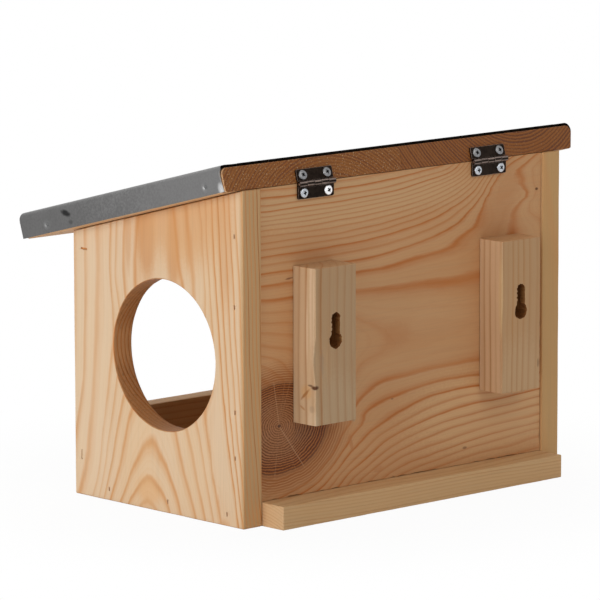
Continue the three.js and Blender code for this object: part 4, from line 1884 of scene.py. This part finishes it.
    def dented(self, point: Vector, side: int, y: float) -> Vector:
        """A point of the sheet, with its dimples, its sprung rear corner and its slow waves.

        Args:
            point: the point in the section.
            side: +1 or -1 on a flange, 0 on the top.
            y: its place down the slope.

        Returns:
            The point as it lies.
        """
        at = Vector((point.x, y, point.z))
        wave = noise.noise(at * 22.0) * 0.12 * MM + noise.noise(at * 90.0) * 0.05 * MM
        if not side:
            return at + Vector((0, 0, wave - self.sag))
        push = wave
        for back in self.nails_from_rear:
            away = math.hypot(y + back, point.z - self.nail_height) / self.dimple_reach
            push -= self.dimple * math.exp(-away * away) - 0.16 * MM * math.exp(-((away - 1.9) ** 2))
        if side > 0:
            near = max(0.0, 1.0 + y / (6.5 * MM))
            low = max(0.0, 1.0 - point.z / (10 * MM))
            push -= self.sprung * near**2 * low
        push = max(push, -0.95 * MM) if y < -2.5 * MM else push
        return at + Vector((side * push, 0, 0))

    def nail(self, side: int, number: int, back: float, steel: Finish) -> None:
        """Makes a nail in its dimple.

        Args:
            side: +1 or -1.
            number: the nail's number on its flange.
            back: how far it is from the boards' rear edge.
            steel: its material.
        """
        name = f"flange_nail_{side_word(side)}_{number}"
        foot, top = self.ends[side]
        lean = math.atan2(abs(top - foot), self.board)
        seat = self.end(side, self.nail_height, self.fit + self.sheet - self.nail_sunk)
        profile = [(0.0, -20 * MM), (0.8 * MM, -18.4 * MM), (0.8 * MM, -0.5 * MM), (1.15 * MM, -0.3 * MM)]
        profile += [(1.3 * MM, -0.05 * MM), (1.2 * MM, 0.12 * MM), (0.6 * MM, 0.22 * MM), (0.0, 0.2 * MM)]
        made = to_object(lathe(profile, 24), name + "_head")
        outward = Matrix.Rotation(side * (QUARTER + lean), 4, "Y")
        made.matrix_world = LID @ Matrix.Translation(Vector((seat.x, -back, seat.z))) @ outward
        settle(made, "lid", name, [steel])


# Timber, piece by piece


BACK_LINES: tuple[Line, ...] = (
    (-5, -118, 97, -108, 92, -100, 86),
    (-4, -118, 103, -105, 99, -97, 92, -93, 87),
    (-3, -118, 110, -112, 108, -95, 105),
    (-2, -112, 116.5, -95, 113.5),
    (-1, -112, 122.5, -95, 121),
    (0, -112, 129, -95, 128, -40, 118, -25, 112.5, -14, 109, -9, 103, -11, 96, -20, 93, -35, 89),
    (0, 112, 196, 112, 188, 115, 182, 110, 176, 109, 168, 118, 163),
    (1, -112, 136, -95, 136, -45, 134, -20, 132.5, 0, 132.5, 20, 133, 40, 131.5, 62, 131.5, 85, 136,
        95, 150),
    (1, 95, 158, 96, 165, 100, 173, 108, 177.5, 107, 182, 105.5, 190, 107, 199),
    (2, -112, 145.5, -35, 145.5, -20, 145.5, 0, 147.5, 20, 149.5, 40, 152.5, 55, 161, 62, 164.5, 66, 171,
        70, 180, 75, 187, 82, 193.5, 92, 200),
    (3, -112, 153, -55, 153, -20, 154.5, 0, 157, 20, 160, 40, 165, 55, 173, 62, 178, 70, 186, 77, 194),
    (4, -112, 158, -55, 158.5, -20, 160, 0, 162, 20, 165.5, 40, 170.5, 55, 178, 62, 182.5, 71, 192),
    (5, -112, 163, -55, 164, -20, 165.5, 0, 168, 20, 171, 40, 177, 55, 183, 62, 187, 68, 192.5),
    (6, -112, 167.5, -55, 168, -20, 170, 0, 172.5, 20, 175.5, 40, 181, 55, 187, 64, 193),
    (7, -112, 171, -55, 171, -20, 173, 0, 175.5, 20, 179, 40, 184, 55, 190),
    (8, -112, 175.5, -55, 175.5, -20, 177.5, 0, 179.5, 20, 182, 40, 187, 55, 193),
    (9, -112, 179, -55, 179.5, -20, 181, 0, 182.5, 20, 185.5, 40, 190, 55, 196),
    (10, -112, 182, -55, 182.5, -20, 184, 0, 185.5, 20, 188, 40, 192.5),
    (11, -112, 184.5, -55, 185, -20, 186.5, 0, 188, 20, 191, 40, 195),
    (12, -112, 187, -55, 187.5, -20, 189, 0, 190.5, 20, 193.5, 40, 197),
    (13, -112, 190, -55, 190.5, -20, 192, 0, 193.5, 20, 196.5, 40, 200),
    (14, -112, 193.5, -55, 194, -20, 195, 0, 197, 20, 199.5, 40, 202.5),
    (15, -112, 198.5, -55, 198.5, -20, 199.5, 0, 201, 20, 203),
    (16, -112, 203, -55, 203),
    (1, -100, 16, -80, 22, -60, 36, -55, 42.5, -45, 54, -35, 69, -20, 75.5, 0, 77, 20, 79, 40, 79.5,
        62, 79.5, 90, 79),
    (2, -70, 22, -55, 34, -45, 45, -35, 57, -20, 63.5, 0, 67, 20, 69.5, 40, 70.5, 62, 70.5, 90, 69),
    (3, -65, 19, -55, 26.5, -45, 35.5, -35, 41.5, -20, 49, 0, 56, 20, 61, 40, 62.5, 62, 63, 90, 61),
    (4, -55, 22, -45, 28.5, -35, 34, -20, 43, 0, 49, 20, 54, 40, 57, 62, 58, 90, 57),
    (5, -45, 23.5, -35, 28, -20, 36.5, 0, 43, 20, 47.5, 40, 50.5, 62, 52.5, 95, 53),
    (6, -35, 22.5, -20, 30, 0, 37, 20, 41, 40, 44, 62, 45.5, 95, 47.5, 110, 49),
    (7, -35, 17.5, -20, 25, 0, 31.5, 20, 35.5, 40, 39, 62, 41, 95, 43, 110, 44),
    (8, -20, 20, 0, 27, 20, 30, 40, 32, 62, 35, 95, 37, 110, 37.5),
    (9, 0, 21, 20, 23.5, 40, 26.5, 62, 29.5, 95, 31.5, 110, 32),
    (10, 0, 16, 20, 19.5, 40, 22, 62, 25, 95, 27.5, 110, 29),
    (11, 62, 20, 95, 21, 110, 23),
)

SIDE_LINES: tuple[Line, ...] = (
    (0, 2, 15.5, 5, 9, 2, 3),
    (1, 2, 27, 10, 20, 16, 14, 19.5, 9, 15.5, 2, 11, -4, 2, -10),
    (2, 2, 34, 10, 29.5, 20, 25, 30, 17.5, 40, 10, 42, 6, 40, 1.5, 33, -3, 29, -7.5, 20, -11.5, 10, -17.5,
        2, -20),
    (3, 2, 44, 10, 40.5, 20, 37, 30, 33.5, 40, 30.5, 50, 28, 60, 24),
    (3, 2, -34, 10, -31, 20, -27, 30, -23, 40, -20, 50, -17),
    (4, 2, 50, 10, 47.5, 20, 44, 30, 41, 40, 39, 50, 36, 70, 30),
    (4, 2, -42.5, 10, -40, 20, -36.5, 30, -34, 40, -31.5, 50, -28, 58, -25),
    (5, 2, 55, 10, 52, 20, 49.5, 30, 47.5, 40, 45.5, 50, 43, 70, 39),
    (5, 2, -50.5, 10, -48, 20, -45.5, 30, -43, 40, -41, 50, -38.5, 60, -35),
    (6, 2, 60, 10, 57, 20, 54.5, 30, 52.5, 40, 51, 50, 49, 70, 45.5, 95, 41.5, 120, 40.5, 140, 42.5,
        170, 42),
    (6, 2, -56, 10, -54.5, 20, -52, 30, -49, 40, -47.5, 50, -45.5, 62, -43),
    (6, 140, -48, 148, -47.5, 158, -46.5, 168, -45.5, 178, -45),
    (7, 2, 73, 10, 70.5, 20, 67.5, 30, 65.5, 40, 63.5, 50, 62, 70, 60, 95, 57.5, 120, 56, 140, 55, 168, 55),
    (7, 2, -73, 10, -71.5, 20, -70, 30, -68, 40, -66, 50, -64.5, 70, -61.5, 95, -58.5, 120, -56, 148, -53.5,
        168, -52, 190, -50.5),
    (8, 2, -77, 10, -75, 20, -73.5, 30, -72, 40, -70, 50, -68, 70, -65, 95, -62.5, 120, -60.5, 148, -58.5,
        168, -57, 190, -55.5),
    (8, 70, 69, 95, 67.5, 120, 66.5, 148, 66),
    (9, 40, -75, 50, -73, 70, -71, 95, -68.5, 120, -66, 148, -64.5, 168, -63.5, 190, -62),
    (10, 70, -75, 95, -73, 120, -70, 148, -69, 168, -67, 190, -65.5),
    (11, 100, -76.5, 120, -75.5, 148, -74.5, 168, -72.5, 190, -71),
    (5, 140, 38.5, 158, 37.5, 170, 37),
    (5, 140, -44.5, 158, -43, 178, -41.5),
    (4, 140, 30, 158, 30.5, 170, 30),
    (4, 140, -33, 158, -31, 178, -28.5, 188, -27),
    (3, 140, 20.5, 158, 19, 176, 17.5),
    (3, 140, -25, 148, -22, 168, -18.5, 180, -17),
    (2.6, 150, 12, 160, 6, 178, 4),
    (2.55, 150, -4, 165, -5, 180, -6),
)

# Each board's rings. A log's centre lies across the board and its depth under the face.
GROWTHS: dict[str, Growth] = {
    "side_right": Traced(SIDE_LINES, -330.0),
    "side_left": Log(-95 * MM, 30 * MM, 0.05, 5.6 * MM, 0.02),
    "back": Traced(BACK_LINES, 160.0),
    "floor": Log(-72 * MM, 60 * MM, 0.01, 1.9 * MM),
    "lip": Log(30 * MM, 60 * MM, 0.02, 4.2 * MM),
    "rail": Log(20 * MM, 55 * MM, 0.02, 4.4 * MM),
    "batten_right": Log(45 * MM, 42 * MM, 0.02, 4.6 * MM),
    "batten_left": Log(-40 * MM, 50 * MM, 0.01, 2.9 * MM),
    "roof_right": Log(-66 * MM, 56 * MM, 0.02, 2.1 * MM),
    "roof_left": Log(103 * MM, -64 * MM, 0.02, 2.1 * MM),
}


def stain(
    x: float,
    y: float,
    along: float,
    across: float,
    tone: Colour,
    share: float,
    ragged: float = 0.5,
    turn: float = 0.0,
) -> Patch:
    """A patch on a board's face, in mm, right through the board.

    Args:
        x: its middle along the grain.
        y: its middle across the grain.
        along: its reach along the grain.
        across: its reach across the grain.
        tone: its colour.
        share: how much of its colour shows.
        ragged: how torn its edge is.
        turn: how far it is turned on the face.

    Returns:
        The patch.
    """
    return Patch((x * MM, y * MM, 0), (along * MM, across * MM, 1.0), tone, share, (0, 0, turn), ragged)


def timber() -> dict[str, Finish]:
    """Every board's pine.

    Returns:
        Materials by board.
    """
    side_years = (0.75, 1.0, 0.95, 1.0, 0.85, 0.65, 0.8, 1.1, 1.15, 1.0, 1.0, 0.9)
    side_years += (0.9, 1.7, 1.15, 1.3, 1.8, 1.6, 1.2)
    back_years = (0.5, 0.5, 0.5, 0.4, 0.4, 0.28, 0.9, 1.0, 1.1, 0.65, 1.05, 0.7, 0.75)
    back_years += (0.6, 0.7, 0.6, 0.65, 0.6, 1.0, 0.7, 1.1, 0.7)
    roof_shade_pink, rust, dark = (0.64, 0.345, 0.165), (0.50, 0.20, 0.07), (0.10, 0.035, 0.012)
    # The pink patches near the top and the broad patch at 190 mm make the panel pinker and darker under the
    # roof's edge: painted shade from the roof.
    side_patches = (
        stain(168, 9, 38, 11, roof_shade_pink, 1.0, 0.2),
        stain(163, -15, 36, 8, roof_shade_pink, 0.95, 0.2),
        stain(170, 26, 34, 4, roof_shade_pink, 0.6, 0.2),
        stain(175, -28, 30, 3, roof_shade_pink, 0.6, 0.2),
        stain(175, -62, 60, 9, roof_shade_pink, 0.5, 0.2),
        stain(12, 8, 12, 16, (0.74, 0.40, 0.16), 0.6, 0.2),
        stain(190, -20, 50, 60, (0.69, 0.375, 0.165), 0.75, 0.2),
        stain(95, -80, 450, 6.5, (0.54, 0.33, 0.15), 0.9, 0.1),
    )
    side_spots = (
        stain(85, 62, 150, 26, (0.78, 0.60, 0.41), 0.4, 0.2),
        stain(28, -5, 50, 65, (0.82, 0.61, 0.38), 0.15, 0.2),
    )
    left_edge = (stain(95, 80, 450, 6.5, (0.58, 0.34, 0.135), 0.95, 0.1),)
    back_patches = (
        stain(82, 172, 40, 17, rust, 0.30, turn=0.95),
        stain(-60, 162, 70, 4, rust, 0.3),
        stain(-5, 104, 16, 10, rust, 0.25),
        # Paler and yellower at the lower right: painted light.
        stain(75, 45, 95, 38, (0.70, 0.43, 0.215), 0.85),
        stain(-45, 190, 150, 20, (0.66, 0.42, 0.215), 0.7),
    )
    back_spots = (
        stain(-45, 41, 2, 8, rust, 0.6, turn=0.3),
        stain(-22, 22, 6, 3, rust, 0.35),
        stain(-96, 148, 4, 0.8, (0.20, 0.08, 0.04), 0.8, turn=0.1),
        stain(116, 182, 1.8, 1.2, dark, 0.9),
        stain(53, 25, 2.5, 1.1, (0.20, 0.09, 0.04), 0.7),
        stain(-10, 64, 1.6, 0.8, (0.22, 0.10, 0.05), 0.6),
    )
    cream = (0.80, 0.66, 0.48)
    batten_patches = (
        Patch((0.136, 0.0175, -0.0030), (0.052, 0.004, 0.0030), cream, 0.6, ragged=0.3),
        Patch((0.118, 0.0175, -0.0075), (0.030, 0.004, 0.0012), cream, 0.5, ragged=0.3),
        Patch((0.062, 0.0175, -0.0030), (0.011, 0.005, 0.0060), cream, 0.7, ragged=0.3),
        stain(65, 0, 35, 30, (0.53, 0.37, 0.22), 0.7),
        Patch((0.108, 0.0182, -0.012), (0.3, 0.0028, 0.040), (0.66, 0.45, 0.27), 0.6, ragged=0.1),
        Patch((0.080, 0.0170, -0.0080), (0.006, 0.004, 0.0060), (0.62, 0.34, 0.13), 0.6, ragged=0.3),
    )
    batten_spots = (
        Patch((0.0785, 0.0170, -0.0090), (0.0013, 0.004, 0.0062), (0.34, 0.14, 0.04), 0.9, (0, 0.75, 0)),
        Patch((0.0700, 0.0170, -0.0115), (0.0010, 0.004, 0.0035), (0.42, 0.20, 0.07), 0.75, (0, -0.5, 0)),
        Patch((0.0832, 0.0165, -0.0010), (0.0017, 0.0036, 0.0034), dark, 1.0, (0, 0, 0.15)),
        Patch((0.0843, 0.0165, -0.0045), (0.0009, 0.0022, 0.003), dark, 0.7),
        Patch((0.070, 0.0165, -0.003), (0.003, 0.0015, 0.003), (0.34, 0.23, 0.14), 0.4),
        Patch((0.098, 0.0105, 0.0), (0.010, 0.0022, 0.004), (0.26, 0.20, 0.15), 0.30, ragged=1.2),
    )
    left_foot = (
        stain(65, 0, 40, 30, (0.58, 0.38, 0.21), 0.7),
        Patch((0.108, 0.0182, -0.012), (0.3, 0.0028, 0.040), (0.72, 0.48, 0.29), 0.8, ragged=0.1),
    )
    left_spots = (
        Patch((0.076, -0.0155, -0.001), (0.004, 0.0012, 0.004), (0.22, 0.12, 0.05), 0.6),
        Patch((0.122, 0.0170, -0.0012), (0.034, 0.0026, 0.0026), (0.68, 0.46, 0.23), 0.6, ragged=0.2),
    )
    branch = Knot(-104.5 * MM, 59 * MM, 44 * MM, up=29 / 44, down=33 / 44, cracks=(1.73, -0.93))
    deep = {"pale": (0.622, 0.352, 0.170), "warm": (0.602, 0.322, 0.145), "late": (0.50, 0.165, 0.038)}
    grey = {"pale": (0.470, 0.315, 0.180), "warm": (0.49, 0.305, 0.16), "late": (0.40, 0.195, 0.075)}
    tan = {"pale": (0.525, 0.325, 0.170), "warm": (0.53, 0.31, 0.15), "late": (0.45, 0.215, 0.075)}
    floor = {"pale": (0.68, 0.445, 0.225), "warm": (0.66, 0.41, 0.198), "late": (0.53, 0.265, 0.10)}
    # cut tints the entry hole's wall warmer and darker: partly the sawn grain's own tone, partly painted
    # shade inside the hole.
    cut, sawn_end, lit = (1.0, 0.73, 0.50), (0.85, 0.8, 0.75), (1.05, 0.97, 0.90)
    traced = {"years": side_years, "seed": 1.0, "patches": side_patches, "spots": side_spots}
    traced["unrest"] = 0.08
    back = {"first": -5, "years": back_years, "patches": back_patches, "spots": back_spots}
    # A dark band just in from the boards' rear end: painted shade where the sheet's edge meets them.
    rear_edge_shade = Patch((-0.0025, 0, 0), (0.0022, 1.0, 1.0), (0.33, 0.15, 0.055), 0.9, ragged=0.1)
    roof = {"pale": (0.72, 0.47, 0.27), "warm": (0.68, 0.41, 0.20), "late": (0.52, 0.23, 0.08)}
    roof |= {"deep": (0.11, 0.032, 0.009), "unrest": 0.25, "rise": 0.48, "fall": 0.28}
    roof["patches"] = (rear_edge_shade,)
    right_end, left_end = (0.45, 0.260, 0.100), (0.43, 0.240, 0.096)
    right_batten = {"patches": batten_patches, "spots": batten_spots}
    pines = (
        Pine("pine_side_right", **traced),
        Pine("pine_side_left", contrast=0.8, seed=2.0, patches=left_edge),
        Pine("pine_back", seed=3.0, knots=(branch,), **back, **deep),
        Pine("pine_floor", contrast=0.8, seed=4.0, end_grain=(1.02, 1.03, 1.10), **floor),
        Pine("pine_lip", contrast=0.7, seed=5.0, **floor),
        Pine("pine_rail", contrast=0.7, seed=6.0, **floor),
        Pine("pine_batten_right", seed=7.0, end_grain=lit, **right_batten, **grey),
        Pine("pine_batten_left", seed=8.0, end_grain=lit, spots=left_spots, patches=left_foot, **tan),
        Pine("pine_roof_right", seed=9.0, flecks=0.75, end_deep=0.5, end_grain=right_end, **roof),
        Pine("pine_roof_left", seed=10.0, flecks=0.2, end_deep=0.75, end_grain=left_end, **roof),
        Pine("pine_side_right_sawn", shade=cut, end_grain=sawn_end, fibre=0.2, **traced),
        Pine("pine_side_left_sawn", shade=cut, end_grain=sawn_end, fibre=0.2, seed=2.0),
        # Darker inside the keyhole: painted shade in the recess.
        Pine("pine_batten_routed", shade=(0.66, 0.48, 0.27), seed=7.0, fibre=0.3, **tan),
    )
    return {pine.name.removeprefix("pine_"): pine.material() for pine in pines}


def metals() -> dict[str, Finish]:
    """Every metal on the feeder.

    Returns:
        Materials by what they are on.
    """
    face, through = 0.149, 0.006
    # Each row: place down the slope, height on the flange, reach along and up, tone, share, raggedness and
    # turn. The first two rows make the flange lighter towards the rear and darker towards the front. The
    # next two are painted highlights round the nail dents, the two after are painted highlights on the
    # sprung rear corner, and the last two are dark smudges.
    flange = (
        (0.012, 0.008, 0.125, 0.05, (0.190, 0.188, 0.187), 0.75, 0.3, 0),
        (-0.178, 0.008, 0.080, 0.05, (0.131, 0.129, 0.128), 0.7, 0.3, 0),
        (-0.016, 0.0058, 0.0042, 0.0042, (0.23, 0.23, 0.23), 0.5, 0.2, 0),
        (-0.1668, 0.0058, 0.0042, 0.0042, (0.21, 0.21, 0.21), 0.5, 0.2, 0),
        (0.0005, 0.0080, 0.0028, 0.0120, (0.52, 0.52, 0.52), 0.9, 0.2, 0),
        (-0.0030, 0.0030, 0.0028, 0.0045, (0.52, 0.52, 0.52), 0.7, 0.2, 0),
        (-0.147, 0.010, 0.0058, 0.0026, (0.02, 0.02, 0.02), 0.95, 0.5, -0.4),
        (-0.144, 0.004, 0.0028, 0.0020, (0.06, 0.06, 0.06), 0.6, 0.5, 0),
    )
    smudges_and_highlights = []
    for y, z, along, high, tone, share, ragged, turn in flange:
        place, reach = LID @ Vector((face, y, z)), (through, along, high)
        smudges_and_highlights.append(Patch(tuple(place), reach, tone, share, (turn + SLOPE, 0, 0), ragged))
    made = {
        "plate": Metal("zinc_plate", (0.54, 0.56, 0.59), (0.38, 0.40, 0.43), 900.0, (0.2, 0.36)),
        # A near-white plate for one hinge screw: a painted glint.
        "bright": Metal("painted_glint_plate", (0.92, 0.92, 0.93), (0.84, 0.84, 0.86), 900.0, (0.3, 0.4)),
        # A darker copy of the plating, painted shade; the roof leaves' screws and the batten screws wear
        # it.
        "shaded": Metal("shaded_plate", (0.26, 0.26, 0.27), (0.175, 0.175, 0.175), 900.0, (0.25, 0.42)),
        # Very dark metal in the screws' crosses: painted shade in the recess.
        "recess": Metal(
            "cross_recess_painted_shade", (0.020, 0.019, 0.018), (0.04, 0.038, 0.036), 900.0, (0.5, 0.7), 0.3
        ),
        "bronze": Metal("dark_bronze", (0.009, 0.0055, 0.0040), (0.020, 0.013, 0.009), 500.0, (0.3, 0.5)),
        # Lighter bronze for the leaves' edges: wear, with a painted sheen.
        "wear_and_sheen": Metal("wear_and_sheen_bronze", (0.14, 0.105, 0.090), (0.24, 0.18, 0.15), 700.0, (0.25, 0.45)),
        "pin": Metal("hinge_pin", (0.16, 0.115, 0.095), (0.26, 0.19, 0.16), 700.0, (0.22, 0.4)),
        "brad": Metal("sunk_brad", (0.54, 0.31, 0.165), (0.35, 0.18, 0.09), 1500.0, (0.5, 0.7), 0.15),
        "rail": Metal("rusty_staple", (0.80, 0.34, 0.08), (0.45, 0.15, 0.035), 700.0, (0.5, 0.7), 0.1),
        "lip": Metal("covered_staple", (0.68, 0.50, 0.32), (0.56, 0.40, 0.24), 900.0, (0.6, 0.8), 0.0),
        "nail": Metal("nail_head", (0.20, 0.20, 0.20), (0.09, 0.09, 0.09), 1200.0, (0.3, 0.5)),
        "zinc": Metal(
            "zinc_sheet",
            (0.192, 0.190, 0.189),
            (0.140, 0.138, 0.137),
            700.0,
            (0.40, 0.52),
            bump=0.0,
            patches=tuple(smudges_and_highlights),
        ),
        # Very dark and not metal: painted shade on the sheet's hems and rear edge.
        "hem_shade": Metal(
            "hem_painted_shade",
            (0.006, 0.005, 0.004),
            (0.014, 0.011, 0.009),
            600.0,
            (0.8, 0.9),
            metallic=0.0,
            gloss=0.0,
        ),
    }
    return {name: metal.material() for name, metal in made.items()}


def batten_screws(metals: Sequence[Finish]) -> None:
    """Makes the screws that hold the battens, driven from inside the box.

    Args:
        metals: the materials of the heads and of the painted shade in their recesses.
    """
    flat = Screw(
        head=3.8 * MM,
        shank=1.9 * MM,
        long=30 * MM,
        proud=0.0,
        dome=0.12 * MM,
        recess=1.6 * MM,
        blade=0.9 * MM,
    )
    inward = Matrix.Rotation(QUARTER, 4, "X")
    for word in ("right", "left"):
        for i in (1, 2):
            node = f"batten_screw_{word}_{i}"
            low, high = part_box(node)
            seat = Vector(((low.x + high.x) / 2, low.y, (low.z + high.z) / 2))
            flat.build(node, Matrix.Translation(seat) @ inward, "box", metals, 0.4 * i, 0.0)


def main() -> None:
    """Builds every piece, then the studio."""
    logging.basicConfig(level=logging.INFO, format="%(message)s")
    random.seed(4)
    pines = timber()
    finishes = metals()
    for side in (1, -1):
        word = side_word(side)
        SidePanel(side).build(pines[f"side_{word}"], pines[f"side_{word}_sawn"], GROWTHS[f"side_{word}"])
        Wires(side).build(finishes)
        batten, growth = pines[f"batten_{word}"], GROWTHS[f"batten_{word}"]
        HangingBatten(side).build(batten, pines["batten_routed"], growth)
        ButtHinge(side).build(finishes)
    BackPanel().build(pines["back"], GROWTHS["back"])
    PlainBoard("floor_board", 2.2, -Axis.X.value, -Axis.Y.value).build(pines["floor"], GROWTHS["floor"])
    PlainBoard("front_lip", 3.3, -Axis.X.value, Axis.Z.value).build(pines["lip"], GROWTHS["lip"])
    PlainBoard("front_top_rail", 4.4, -Axis.X.value, Axis.Z.value).build(pines["rail"], GROWTHS["rail"])
    batten_screws((finishes["shaded"], finishes["recess"]))
    boards = ("roof_right", "roof_left")
    pair, rings = [pines[name] for name in boards], [GROWTHS[name] for name in boards]
    Roof().build(pair, rings, (finishes["zinc"], finishes["hem_shade"]), finishes["nail"])

    studio = Studio()
    studio.camera()
    studio.surroundings()


if __name__ == "__main__":
    main()
